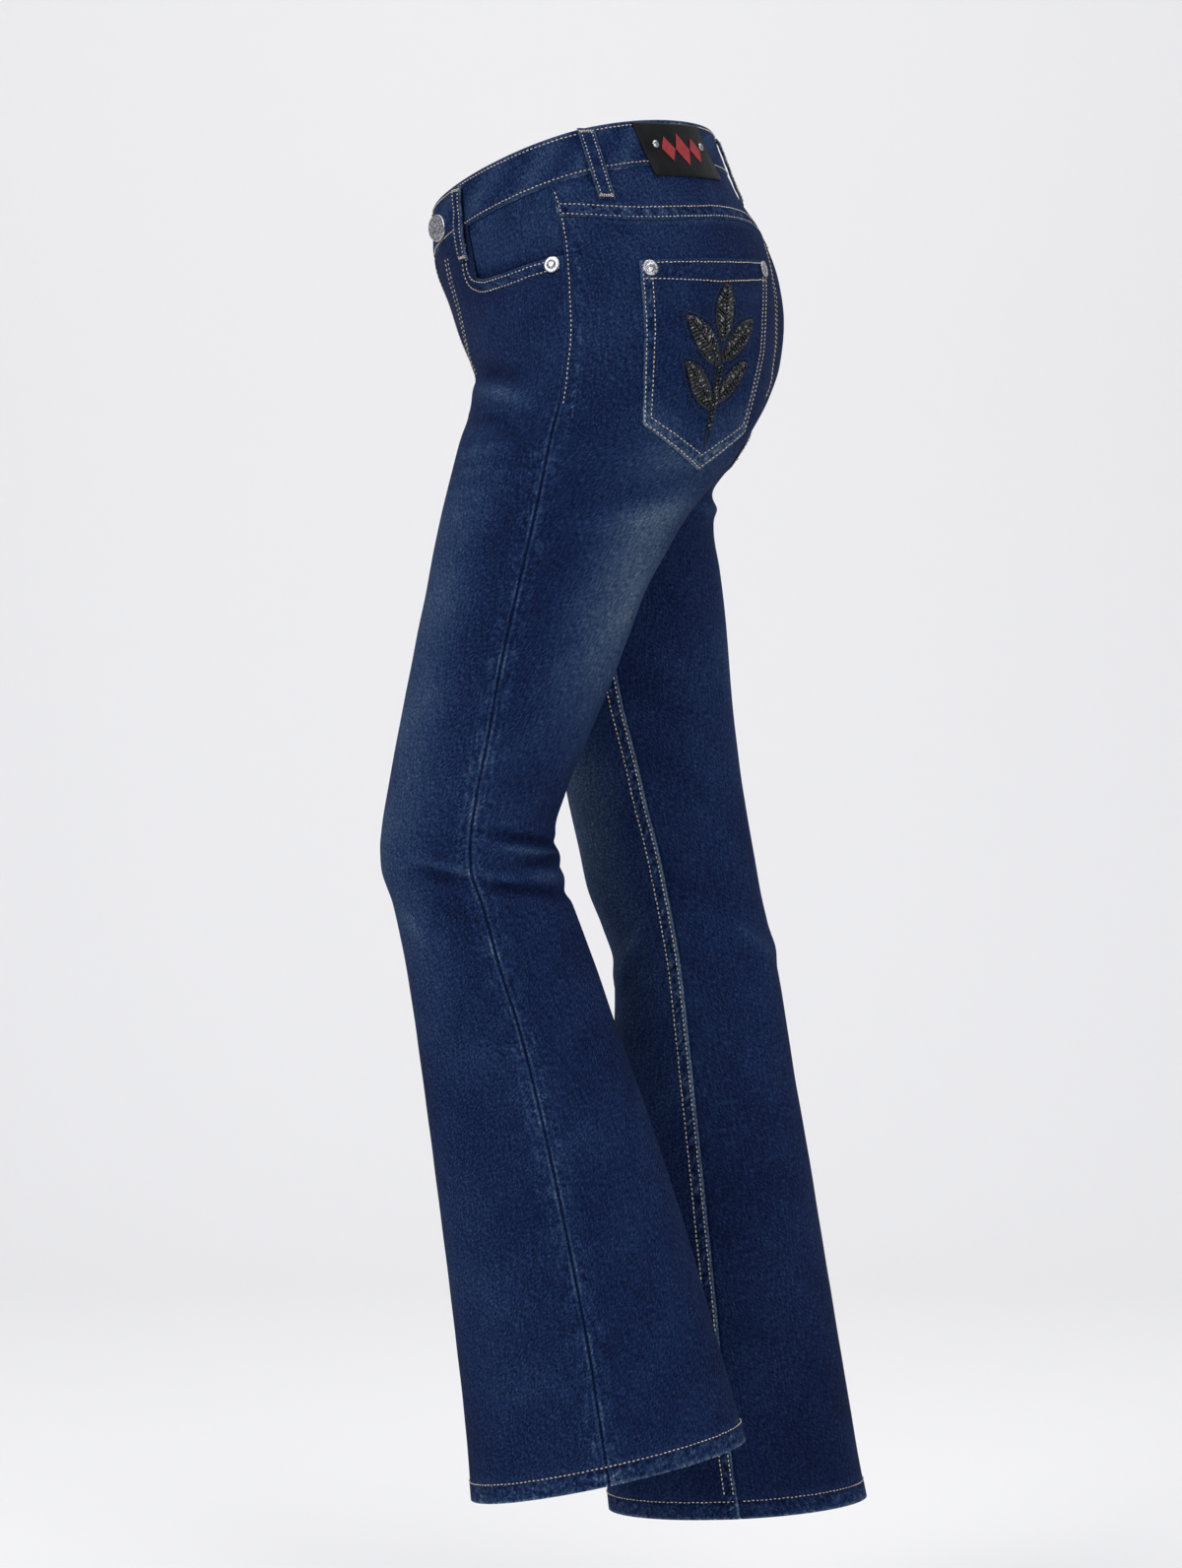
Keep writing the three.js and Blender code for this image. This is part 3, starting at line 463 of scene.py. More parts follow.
def declare(points):
    """Works out a cloth piece's flat cut: its longest row, longest column and area, in metres; the values
    are not kept or used.
    """
    width = np.linalg.norm(np.diff(points, axis=0), axis=-1).sum(axis=0).max() * MM
    length = np.linalg.norm(np.diff(points, axis=1), axis=-1).sum(axis=1).max() * MM
    across = np.diff(points, axis=0)[:, :-1]
    down = np.diff(points, axis=1)[:-1]
    area = np.linalg.norm(np.cross(across, down), axis=-1).sum() * MM * MM
    width, length = round(float(width) + 0.0005, 3), round(float(length) + 0.0005, 3)
    area = min(float(area), width * length)


# Materials.


def new_material(name):
    material = bpy.data.materials.new(name)
    material.use_nodes = True
    tree = material.node_tree
    tree.nodes.clear()
    out = tree.nodes.new("ShaderNodeOutputMaterial")
    shader = tree.nodes.new("ShaderNodeBsdfPrincipled")
    tree.links.new(shader.outputs[0], out.inputs[0])
    return material, tree, shader


def set_inputs(tree, made, links=None, values=None):
    for key, value in (values or {}).items():
        made.inputs[key].default_value = value
    for key, source in (links or {}).items():
        tree.links.new(source, made.inputs[key])


def node(tree, kind, links=None, values=None, **settings):
    made = tree.nodes.new(kind)
    for key, value in settings.items():
        setattr(made, key, value)
    set_inputs(tree, made, links, values)
    return made


def ramp(tree, source, stops):
    """Colours at stops along a value."""
    made = node(tree, "ShaderNodeValToRGB", {0: source})
    elements = made.color_ramp.elements
    while len(elements) < len(stops):
        elements.new(0.5)
    for element, (position, color) in zip(elements, stops):
        element.position = position
        element.color = (*color, 1)
    return made.outputs[0]


def noise_node(tree, vector, scale, detail, roughness=0.5):
    values = {"Scale": scale, "Detail": detail, "Roughness": roughness}
    return node(tree, "ShaderNodeTexNoise", {"Vector": vector}, values).outputs["Fac"]


def calculate(tree, operation, first, second):
    """Joins two values; the second is a number or a node's output."""
    if isinstance(second, (int, float)):
        made = node(tree, "ShaderNodeMath", {0: first}, {1: second}, operation=operation)
    else:
        made = node(tree, "ShaderNodeMath", {0: first, 1: second}, operation=operation)
    return made.outputs[0]


def bump_node(tree, height, strength, distance, under=None):
    """A relief, over another relief if one is given."""
    links = {"Height": height}
    if under:
        links["Normal"] = under
    return node(tree, "ShaderNodeBump", links, {"Strength": strength, "Distance": distance}).outputs[0]


# From unworn indigo to nearly white wear.
DENIM_COLORS = (
    (0.0, (0.0022, 0.0040, 0.0155)),
    (0.2, (0.0043, 0.0105, 0.0420)),
    (0.35, (0.0085, 0.0205, 0.0680)),
    (0.5, (0.0190, 0.0390, 0.0890)),
    (0.7, (0.0480, 0.0740, 0.1250)),
    (1.0, (0.2000, 0.2550, 0.3200)),
)


def denim_material(name, lift):
    """Indigo twill: warp slubs, fine twill lines, and worn fading with painted highlights and shade, from
    the mesh's own attributes.
    """
    material, tree, shader = new_material(name)

    def attribute(key, output):
        return node(tree, "ShaderNodeAttribute", attribute_name=key).outputs[output]

    cloth = attribute("cloth", "Vector")

    def mapped(kind="POINT", **values):
        return node(tree, "ShaderNodeMapping", {"Vector": cloth}, values, vector_type=kind).outputs[0]

    def scaled(source, centre, amount):
        return calculate(tree, "MULTIPLY", calculate(tree, "ADD", source, -centre), amount)

    grain_map = mapped("TEXTURE", Scale=(0.0013, 0.0027, 1), Rotation=(0, 0, math.radians(35)))
    twill_map = mapped(Rotation=(0, 0, math.radians(32)))
    knots = noise_node(tree, cloth, 210.0, 2.0, 0.6)
    slub = noise_node(tree, mapped(Scale=(560, 60, 1)), 1.0, 3.0, 0.6)
    grain = noise_node(tree, grain_map, 1.0, 3.0, 0.8)
    cloud = noise_node(tree, cloth, 22.0, 4.0, 0.55)
    wave = {"Scale": 380.0, "Distortion": 0.6, "Detail": 1.0}
    twill = node(tree, "ShaderNodeTexWave", {"Vector": twill_map}, wave).outputs["Fac"]

    roped = calculate(tree, "MULTIPLY", scaled(knots, 0.47, 2.2), attribute("rope", "Fac"))
    total = calculate(tree, "ADD", attribute("wear_and_shading", "Fac"), roped)
    for source, amount in ((slub, 0.42), (grain, 1.65), (cloud, 0.2), (twill, 0.05)):
        total = calculate(tree, "ADD", total, scaled(source, 0.5, amount))
    colors = ramp(tree, calculate(tree, "ADD", total, lift), DENIM_COLORS)
    fine = bump_node(tree, calculate(tree, "ADD", twill, slub), 0.35, 0.0004)
    soft = bump_node(tree, cloud, 0.3, 0.004, fine)
    looks = {"Roughness": 0.86, "Specular IOR Level": 0.05}
    set_inputs(tree, shader, {"Base Color": colors, "Normal": soft}, looks)
    return material


def speckled_material(name, scale, detail, colors, looks, gloss=None, relief=None, cell_scale=None):
    """Colour, gloss and relief follow fine noise on the object; relief may follow cells instead."""
    material, tree, shader = new_material(name)
    place = node(tree, "ShaderNodeTexCoord").outputs["Object"]
    speckle = noise_node(tree, place, scale, detail)
    links = {"Base Color": ramp(tree, speckle, colors)}
    if gloss:
        links["Roughness"] = ramp(tree, speckle, [(at, (value, value, value)) for at, value in gloss])
    if relief:
        height = speckle
        if cell_scale:
            cells = node(tree, "ShaderNodeTexVoronoi", {"Vector": place}, {"Scale": cell_scale})
            height = cells.outputs["Distance"]
        links["Normal"] = bump_node(tree, height, *relief)
    set_inputs(tree, shader, links, looks)
    return material


def thread_material(name, dark, light):
    stops = ((0.3, dark), (0.7, light))
    return speckled_material(name, 260.0, 2.0, stops, {"Roughness": 0.7}, relief=(0.4, 0.0003))


denim = denim_material("denim", 0.0)
tape = denim_material("zip_tape", -0.12)
thread = thread_material("thread", (0.34, 0.28, 0.2), (0.66, 0.57, 0.44))
leather = speckled_material(
    "leather", 60.0, 5.0, ((0.3, (0.0025, 0.0025, 0.003)), (0.75, (0.009, 0.009, 0.011))),
    {"Specular IOR Level": 0.12}, gloss=((0.3, 0.32), (0.7, 0.5)), relief=(0.4, 0.0005), cell_scale=900.0,
)
nickel = speckled_material(
    "nickel", 900.0, 4.0, ((0.38, (0.14, 0.14, 0.15)), (0.62, (0.6, 0.6, 0.62))),
    {"Metallic": 1.0}, gloss=((0.3, 0.16), (0.7, 0.34)), relief=(0.1, 0.0002),
)
# The beads' own colour is black; the pale grey noise patches are painted highlights standing in for glints.
beads = speckled_material(
    "beads", 400.0, 2.0, ((0.56, (0.002, 0.002, 0.003)), (0.68, (0.22, 0.22, 0.23))),
    {"Specular IOR Level": 0.35}, gloss=((0.3, 0.06), (0.7, 0.2)),
)

# Smooth noise that repeats on every run.


def lattice_noise(u, v, seed):
    """Soft noise from -1 to 1 over two lengths."""
    total = np.zeros(np.broadcast(u, v).shape)
    generator = np.random.default_rng(seed)
    for octave in range(3):
        for _ in range(4):
            angle = generator.uniform(0, 2 * math.pi)
            phase = generator.uniform(0, 2 * math.pi)
            scale = 2**octave * generator.uniform(0.8, 1.25)
            wave = np.sin((u * math.cos(angle) + v * math.sin(angle)) * scale + phase)
            total = total + wave / (4 * 1.6**octave)
    return total


# Worn or darker patches of a leg: amount, ring position and half width, height and half height.
LEG_PATCHES = (
    (-0.06, 1.12, 0.4, -330, 110),
    (0.05, 1.45, 0.3, -760, 170),
    (0.11, 1.45, 0.5, -130, 80),
    (0.09, 0.5, 0.42, -140, 50),
)
BASE_WEAR = 0.2
SEAT_SEAM_END = -196
PALE_SEAM_TOP = -190


def leg_wear_and_shade(side, g, z, y, seam_mm):
    """How worn the denim is: thigh fronts, back thighs, knees and seam ridges are pale; the back-thigh fade
    is cut back between the legs as painted shade.
    """
    fine = lattice_noise(g * 30, z / 7, 12)
    mottle = lattice_noise(g * 160, z / 5, 13)
    from_front = y - SHAPE[side]["front"](z)
    from_back = SHAPE[side]["back"](z) - y
    wear_and_shading = BASE_WEAR + 0.045 * lattice_noise(g * 9, z / 26, 11)
    for amount, place, half_width, height, half_height in LEG_PATCHES:
        wear_and_shading += amount * bump_at(g, place, half_width) * bump_at(z, height, half_height)
    thigh = np.clip((z + 165) / -110, 0, 1) * np.clip((z + 680) / 180, 0, 1)
    wear_and_shading += 0.31 * bump_at(from_front, 8, 30) * thigh
    wear_and_shading += 0.09 * bump_at(from_front, 20, 50) * bump_at(z, -800, 190)
    wear_and_shading += 0.05 * (side == "right") * bump_at(z, -520, 190)

    shaded_inner_side = np.clip((g - 1.4) / 0.2, 0, 1)
    under_seat = np.clip((CROTCH_Z + 22 - z) / 36, 0, 1)
    back_thigh = bump_at(from_back, 16, 38) * bump_at(z, -328, 116)
    # Painted shade: the back-thigh fade is cut back towards the inner side between the legs, where shade
    # falls.
    wear_and_shading += 0.46 * back_thigh * under_seat * (1 - 0.8 * shaded_inner_side)
    wear_and_shading += 0.2 * bump_at(from_back, 48, 40) * bump_at(z, -226, 30) * (g > 1)
    whiskers = np.sin(z / 2.4 + 3 * fine) * bump_at(from_front, 22, 32) * bump_at(z, -225, 45)
    wear_and_shading += 0.06 * whiskers

    below = z < PALE_SEAM_TOP
    wear_and_shading += 0.36 * bump_at(seam_mm, 2.0, 0.9) * below * np.clip(0.75 + 0.5 * fine, 0.2, 1.3)
    wear_and_shading += 0.13 * bump_at(seam_mm, 8, 5) * below * np.clip(0.35 + mottle, 0, 1.4)
    wear_and_shading -= 0.2 * bump_at(seam_mm, 0, 0.7) * below
    above = z >= SEAT_SEAM_END
    wear_and_shading += 0.2 * bump_at(seam_mm, 11.5, 1.8) * above * (g > 1) * np.clip(0.35 + mottle, 0, 1.3)
    wear_and_shading += 0.12 * bump_at(seam_mm, 0.8, 0.8) * above
    return wear_and_shading


def spread(dense_edges, middle):
    """Shares from 0 to 1 with closer steps at both ends."""
    last = dense_edges[-1]
    inside = np.linspace(last, 1 - last, middle)[1:-1]
    return np.array([*dense_edges, *inside, *(1 - np.array(dense_edges[::-1]))])


ACROSS = spread([0, 0.003, 0.006, 0.0095, 0.014, 0.02, 0.028, 0.038, 0.052, 0.07, 0.09], 38)
LEVEL_Z = -112.0
BLEND_Z = -626.0
CROTCH_ROWS = [-204, -207, -209.5, -211.5, -213, -214.5, -215.5, -216]
LEVEL_ROWS = [
    *np.arange(-116, -203, -3.5),
    *CROTCH_ROWS,
    *[-217, -219, -222, -226],
    *np.arange(-230, -262, -2.0),
    *np.arange(-262, -479, -4.0),
    *np.arange(-480, -625, -1.9),
]


def hem_line(side, g):
    """Height of the hem's lower edge at each ring position."""
    height, slope = HEMS[side]
    return height_on(side, g, lambda y: height + slope * y, HEM_START)


def beside(g, zs):
    """Ring positions for each row of heights."""
    return np.repeat(g[:, None], zs.shape[1], 1)


TOP_ROWS = 14
BOTTOM_ROWS = 84


def lattice(side, g, top):
    """Heights [column][row] of a leg panel from its top edge to its hem."""
    bottom = hem_line(side, g)
    rows = [top + (LEVEL_Z - top) * share for share in np.linspace(0, 1, TOP_ROWS)]
    rows += [np.full_like(g, z) for z in LEVEL_ROWS]
    hem_top = bottom + HEM_DEPTH + 2
    rows += [BLEND_Z + (hem_top - BLEND_Z) * share for share in np.linspace(0, 1, BOTTOM_ROWS)]
    rows += [bottom + d for d in (HEM_DEPTH + 0.5, HEM_DEPTH - 0.5, HEM_DEPTH - 2, 9, 6, 3, 1.2, 0.4, 0)]
    return np.stack(rows, 1), bottom


SCOOP = ((-77, -66), (-76, -84), (-72, -92), (-64, -95), (-51, -93.5), (-30, -88.5), (-8, -84))
scoop_edge = monotone([p[0] for p in SCOOP], [p[1] for p in SCOOP])
YOKE = ((1, -55), (1.2, -57), (1.45, -52), (1.62, -47.5), (1.75, -46.5), (1.88, -50), (2, -58))
yoke_seam = monotone([p[0] for p in YOKE], [p[1] for p in YOKE])
SCOOP_START = {side: ring_at(side, SCOOP[0][0], -62) for side in SIDES}
# The worn edge of the front pocket stands a little off the facing.
SCOOP_STAND = 1.3
SCOOP_FADE = 8.0


SCOOP_GUESS = -90
SCOOP_STEPS = 24


def panel(side, kind, top):
    """A leg panel with its seams, scoop edge, hem, worn fading, and painted highlights and shade on its
    folds.
    """
    in_front = kind == "front"
    g = ACROSS if in_front else 1 + ACROSS
    zs, bottom = lattice(side, g, top(g))
    gs = beside(g, zs)
    row = np.clip(((TOP_Z - zs) / LEVEL_STEP).astype(int), 0, LEVEL_COUNT - 1)
    span = RINGS[side][kind][row]
    from_side = np.abs(gs - 1) * span
    from_centre = (gs if in_front else 2 - gs) * span
    from_top = zs[:, :1] - zs
    from_hem = zs - bottom[:, None]
    below = zs < CROTCH_Z
    in_scoop = gs > SCOOP_START[side]

    lift = -0.5 * bump_at(from_side, 0, 0.7) + 0.35 * bump_at(from_side, 2.2, 1.2)
    lift = lift - 0.6 * bump_at(from_centre, 0, 0.8) * below
    if in_front:
        opening = in_scoop * SCOOP_STAND * bump_at(from_top, 0, SCOOP_FADE)
        lift = lift + opening * np.clip(from_side / 14, 0, 1)
        lift = lift + 0.6 * bump_at(from_centre, 5.5, 5) * below
    hem = np.clip((HEM_DEPTH - from_hem) / 1.2, 0, 1)
    ripple = lattice_noise(gs * 7, zs / 32, 21 if side == "left" else 22)
    pucker = np.sin(zs / 2.1 + 2.4 * lattice_noise(gs, zs / 18, 25)) * bump_at(from_side, 0, 9) * (zs < -195)
    lift = lift + 0.45 * hem + 0.35 * ripple + 0.22 * pucker
    points, _ = raised(side, gs, zs, lift)

    y = points[..., 1]
    outer = np.abs(points[..., 0]) >= SHAPE[side]["lobe"](zs)
    crease = fold_height(side, outer, y, zs)
    hem_noise = lattice_noise(gs * 60, zs / 9, 31)
    # Painted highlight and shade: fold ridges are painted paler and fold troughs darker, by the folds'
    # height.
    wear_and_shading = leg_wear_and_shade(side, gs, zs, y, from_side) + np.where(crease > 0, 0.075, 0.035) * crease
    wear_and_shading = wear_and_shading + hem * (0.06 + 0.1 * np.clip(hem_noise, -0.2, 1)) + 0.36 * bump_at(from_hem, 0, 1.6)
    wear_and_shading = wear_and_shading + 0.1 * bump_at(from_hem, HEM_DEPTH + 1.4, 1.1)
    wear_and_shading = wear_and_shading - 0.1 * bump_at(from_hem, HEM_DEPTH - 1.8, 1.3)
    rope = 0.5 * hem + 0.35 * bump_at(from_side, 6, 5) * below
    if in_front:
        edge = 0.34 * bump_at(from_top, 0, 1.5) + 0.1 * bump_at(from_top, 5.5, 2.4)
        wear_and_shading = wear_and_shading + in_scoop * edge * np.clip(0.8 + 0.5 * hem_noise, 0.2, 1.4)
        wear_and_shading = wear_and_shading + 0.5 * bump_at(from_centre, 1.4, 1.1) * below
        rope = rope + 0.9 * bump_at(from_centre, 6.7, 3.2) * below
        rope = rope + 0.6 * in_scoop * bump_at(from_top, 5.5, 3)
    else:
        wear_and_shading = wear_and_shading + 0.2 * bump_at(from_top, 0, 2.0)
        rope = rope + 0.6 * bump_at(from_centre, 5.5, 3) * (zs > CROTCH_Z)
        rope = rope + 0.5 * bump_at(from_side, 10, 3) * ~below
    name = f"{kind}_{side}"
    cloth_piece(f"{name}_cloth", name, points, CLOTH, wear_and_shading, side == "right", rope=rope)


for side in SIDES:

    def front_top(g):
        scoop = height_on(side, g, scoop_edge, SCOOP_GUESS, SCOOP_STEPS)
        return np.where(g <= SCOOP_START[side], under_band(side, g, -60), scoop)

    panel(side, "front", front_top)
    panel(side, "back", lambda g: yoke_seam(g) - SEAM_CLEARANCE)

# Yokes and waistband.


def rows_between(top, bottom, shares):
    return np.stack([top + (bottom - top) * share for share in shares], 1)


def trim_wear(gs, zs, base, seed):
    coarse = 0.05 * lattice_noise(gs * 14, zs / 9, seed)
    return base + coarse + 0.03 * lattice_noise(gs * 60, zs / 3, seed + 1)


for side in SIDES:
    g = 1 + ACROSS
    top = under_band(side, g, -20)
    zs = rows_between(top, yoke_seam(g), np.linspace(0, 1, 22))
    gs = beside(g, zs)
    above_seam = zs - yoke_seam(g)[:, None]
    below_band = top[:, None] - zs
    pucker = np.sin(gs * 95 + 2 * lattice_noise(gs * 20, zs / 20, 41))
    lift = 0.3 * pucker * bump_at(above_seam, 5, 8)
    lift = lift + 0.5 * np.clip(1 - above_seam / 1.5, -1, 0) + 0.5
    lift = lift - 0.6 * bump_at(below_band, 0, 1.6) + 0.3 * lattice_noise(gs * 9, zs / 24, 42)
    points, _ = raised(side, gs, zs, lift)
    wear_and_shading = trim_wear(gs, zs, 0.3, 43) + 0.16 * bump_at(above_seam, 0.3, 1.2)
    # Painted shade: the yoke is darker just under the waistband's lower edge.
    wear_and_shading = wear_and_shading + 0.12 * pucker * bump_at(above_seam, 6, 5) - 0.08 * bump_at(below_band, 0, 2)
    rope = 0.7 * bump_at(above_seam, 5.8, 3)
    cloth_piece(f"yoke_{side}_cloth", f"yoke_{side}", points, CLOTH, wear_and_shading, side == "right", rope=rope)

UNDER_DROP = BAND_THICKNESS + 0.3


def band_columns():
    """Side, g, shift and share laid under, from the left end round to the right end."""
    steps = [("right", 0.0, shift, 0.0) for shift in (12.0, 9.0, 6.0, 3.0)]
    steps += [("left", g, 0.0, 0.0) for g in np.linspace(0, 1, 70)]
    steps += [("left", g, 0.0, 0.0) for g in np.linspace(1, 1.995, 70)[1:]]
    steps += [("right", g, 0.0, 0.0) for g in np.linspace(1.995, 1, 70)]
    steps += [("right", g, 0.0, 0.0) for g in np.linspace(1, 0.24, 54)[1:]]
    for shift in (42.0, 38.0, 34.0, 30.0, 26.0, 22.0, 16.0, 10.0, 5.0, 0.1):
        steps.append(("right", 0.0, shift, min(1.0, max(0.0, (42 - shift) / 16))))
    steps += [("left", 0.0, shift, 1.0) for shift in (3.0, 8.0, 13.0, 18.0)]
    return steps


def band_piece():
    shares = np.array([0, 0.012, 0.035, 0.07, *np.linspace(0.12, 0.88, 15), 0.93, 0.965, 0.988, 1.0])
    columns, wear_and_shading = [], []
    run = 0.0
    last = None
    for side, g, shift, under in band_columns():
        one = np.array([g])
        top = height_on(side, one, waist_top, 0)[0]
        bottom = height_on(side, one, waist_seam, -30)[0] + under * 2.2
        zs = top + (bottom - top) * shares
        base, normal = raised(side, np.full_like(zs, g), zs, 0.0, shift)
        down = (top - bottom) * shares
        up = (top - bottom) - down
        wave = run / 9.0
        lift = -0.8 * bump_at(down, 0, 0.9) - 0.7 * bump_at(up, 0, 0.9)
        lift = lift - 0.28 * bump_at(down, 3, 1.2) - 0.28 * bump_at(up, 3, 1.2)
        crease = np.sin(wave * 1.3 + down / 5.5 + 1.5 * math.sin(wave / 4))
        lift = lift + 0.42 * crease * np.sin(math.pi * shares)
        lift = lift + 0.14 * np.sin(wave * 6) * bump_at(up, 0, 7)
        columns.append(base + normal * (lift - under * UNDER_DROP)[:, None])
        edge = 0.14 * bump_at(down, 0, 1.3) + 0.1 * bump_at(up, 0, 1.3)
        wear_and_shading.append(0.34 + 1.5 * edge + 0.08 * crease + 0.03 * np.sin(wave * 2.1 + down))
        if last is not None:
            run += float(np.linalg.norm(base[0] - last))
        last = base[0]
    cloth_piece("waistband_cloth", "waistband", np.array(columns), BAND_THICKNESS, np.array(wear_and_shading))


band_piece()

# Pocket facings, seen inside the scoops.
FACING_DEPTH = 15

for side in SIDES:
    g = np.linspace(SCOOP_START[side] - 0.06, 1.03, 46)
    top = height_on(side, g, lambda y: waist_seam(y) + 1.5, -50)
    low = height_on(side, g, lambda y: scoop_edge(y) - FACING_DEPTH, SCOOP_GUESS, SCOOP_STEPS)
    low = np.where(g > 0.99, low[g <= 0.99][-1], low)
    low = np.minimum(low, top - 34)
    zs = rows_between(top, low, np.linspace(0, 1, 26))
    gs = beside(g, zs)
    points, _ = raised(side, gs, zs, -(1.9 + 0.3 * lattice_noise(gs * 12, zs / 14, 51)))
    above = zs - (low[:, None] + FACING_DEPTH)
    # Painted shade: the facing is darker around the height of the scoop edge, where the pocket opening
    # shades it.
    wear_and_shading = trim_wear(gs, zs, 0.34, 52) - 0.2 * bump_at(above, 0, 7)
    name = f"facing_{side}"
    cloth_piece(f"{name}_cloth", f"pocket_{name}", points, LAID_CLOTH, wear_and_shading, side == "right")


# Back pockets.


def corner_on(y, z):
    return np.array([ring_at("left", y, z), z])


POCKET_TOP = (corner_on(47, -88), corner_on(142, -74))
LEVEL_LINE = -150.0
POCKET_LOW = tuple(
    np.array([ring_at("left", y, LEVEL_LINE), z]) for y, z in ((50, -206), (90, -236), (124, -207))
)


def ring_positions(side, y, z):
    """Ring positions behind the side seam where the cloth has these y, at heights z."""
    y, z = np.broadcast_arrays(np.asarray(y, float), np.asarray(z, float))
    steps = np.linspace(0.9, 2.0, 111)
    ys = surface(side, steps, z[..., None])[..., 1]
    rising = np.maximum.accumulate(ys, axis=-1)
    y = np.minimum(y, rising[..., -1] - 0.5)
    after = np.clip((rising < y[..., None]).sum(-1), 1, len(steps) - 1)
    low = np.take_along_axis(rising, (after - 1)[..., None], -1)[..., 0]
    high = np.take_along_axis(rising, after[..., None], -1)[..., 0]
    share = np.clip((y - low) / np.maximum(1e-6, high - low), 0, 1)
    return steps[after - 1] + share * (steps[1] - steps[0])


def on_pocket(across, down, side="left"):
    """Ring position and height of a share across, side to centre, and a share down a pocket."""
    across = np.asarray(across, float)[..., None]
    down = np.asarray(down, float)[..., None]
    top = POCKET_TOP[0] + (POCKET_TOP[1] - POCKET_TOP[0]) * across
    first = POCKET_LOW[0] + (POCKET_LOW[1] - POCKET_LOW[0]) * across * 2
    second = POCKET_LOW[1] + (POCKET_LOW[2] - POCKET_LOW[1]) * (across * 2 - 1)
    low = np.where(across < 0.5, first, second)
    at = top + (low - top) * down
    g, z = at[..., 0], at[..., 1]
    # Near the crotch the rings change over to the leg, so the lines run straight down from there.
    level_y = surface(side, g, np.full_like(z, LEVEL_LINE))[..., 1]
    return np.where(z < LEVEL_LINE, ring_positions(side, level_y, z), g), z


POCKET_WIDE = 140.0
POCKET_TALL = 128.0
POCKET_BASE = 0.5


for side in SIDES:
    dense = spread([0, 0.008, 0.02, 0.04, 0.065, 0.09], 30)
    across, down = np.meshgrid(dense, dense, indexing="ij")
    from_edge = np.minimum(np.minimum(across, 1 - across) * POCKET_WIDE, (1 - down) * POCKET_TALL)
    from_top = down * POCKET_TALL
    g, z = on_pocket(across, down, side)
    lift = POCKET_BASE + LAID_CLOTH + 0.3 * bump_at(from_edge, 5, 3.5)
    lift = lift + 0.35 * (from_top < 15) - 0.7 * bump_at(from_edge, 0, 0.9)
    pucker = np.sin(across * 60 + down * 52 + 2 * lattice_noise(g * 20, z / 20, 61))
    lift = lift + 0.14 * pucker * bump_at(from_edge, 0, 12) + 0.2 * lattice_noise(g * 14, z / 16, 62)
    points, _ = raised(side, g, z, lift)
    wear_and_shading = trim_wear(g, z, 0.25, 63) + 0.32 * bump_at(from_edge, 0.8, 1.3)
    wear_and_shading = wear_and_shading + 0.11 * bump_at(from_edge, 6, 2.5) * (0.6 + pucker) + 0.24 * bump_at(down, 1.0, 0.2)
    wear_and_shading = wear_and_shading + 0.12 * bump_at(from_top, 0, 1.4)
    rope = 0.6 * bump_at(from_edge, 5.7, 3) + 0.4 * bump_at(from_top, 8, 5)
    name = f"pocket_{side}"
    cloth_piece(f"{name}_cloth", f"back_{name}", points, LAID_CLOTH, wear_and_shading, side == "right", rope=rope)

# Closing of the fly, behind the front: shield, zip tape, teeth and slider.
FLY_TOP = -74.0
FLY_BOTTOM = -146.0


def fly_points(shifts, depths, top, bottom, rows):
    """Points [column][row] behind the front centre; shifts run from the right side to the left."""
    z = np.linspace(top, bottom, rows)
    columns = []
    for shift, depth in zip(shifts, depths):
        side = "right" if shift < 0 else "left"
        side = "right" if shift < 0 else "left"
        columns.append(raised(side, np.zeros(rows), z, -depth, np.full(rows, abs(shift)))[0])
    return np.array(columns)


shield_shifts = np.linspace(-40, 12, 22)
shield_depths = np.interp(shield_shifts, (-40, -32, -22, -12, 2, 12), (1.9, 1.9, 4.6, 6.6, 6.6, 6.6))
shield_points = fly_points(shield_shifts, shield_depths, FLY_TOP, FLY_BOTTOM - 4, 34)
shield_wear = 0.2 + 0.04 * lattice_noise(shield_points[..., 0] / 14, shield_points[..., 2] / 14, 81)
cloth_piece("fly_shield_cloth", "fly_shield", shield_points, LAID_CLOTH, shield_wear)
tape_points = fly_points(np.linspace(-14, 14, 13), np.full(13, 2.0), FLY_TOP, FLY_BOTTOM, 34)
tape_wear = np.full(tape_points.shape[:2], 0.15)
cloth_piece("zip_tape_cloth", "zip_tape", tape_points, 1.0, tape_wear, material=tape)

# Belt loops.


def loop_height(bow, share, over):
    """Height over the cloth along a strip that bows away from the band."""
    return 0.7 + bow * np.sin(math.pi * share) ** 0.7 + over


def loop_piece(name, place, bow, flip):
    """place(shift, share) gives points and normals."""
    shifts = np.array([-6.0, -5.6, -4.6, -3.4, -1.2, 0, 1.2, 3.4, 4.6, 5.6, 6.0])
    across, share = np.meshgrid(shifts, np.linspace(0, 1, 34), indexing="ij")
    points, normals = place(across, share)
    ends = bump_at(share, 0, 0.05) + bump_at(share, 1, 0.05)
    height = loop_height(bow, share, 1.6) + 0.35 * bump_at(np.abs(across), 3.9, 1.3)
    height = height - 0.8 * ends + 0.12 * np.sin(share * 31)
    wear_and_shading = 0.29 + 0.34 * bump_at(np.abs(across), 5.6, 0.8) + 0.12 * ends + 0.05 * np.sin(share * 23)
    points = points + normals * height[..., None]
    cloth_piece(f"loop_{name}_cloth", f"belt_loop_{name}", points, 1.5, wear_and_shading, flip)


LOOPS = {"front": ((-85, -23), (-79.5, -79)), "side": ((8.8, 9.5), (24.5, -43))}


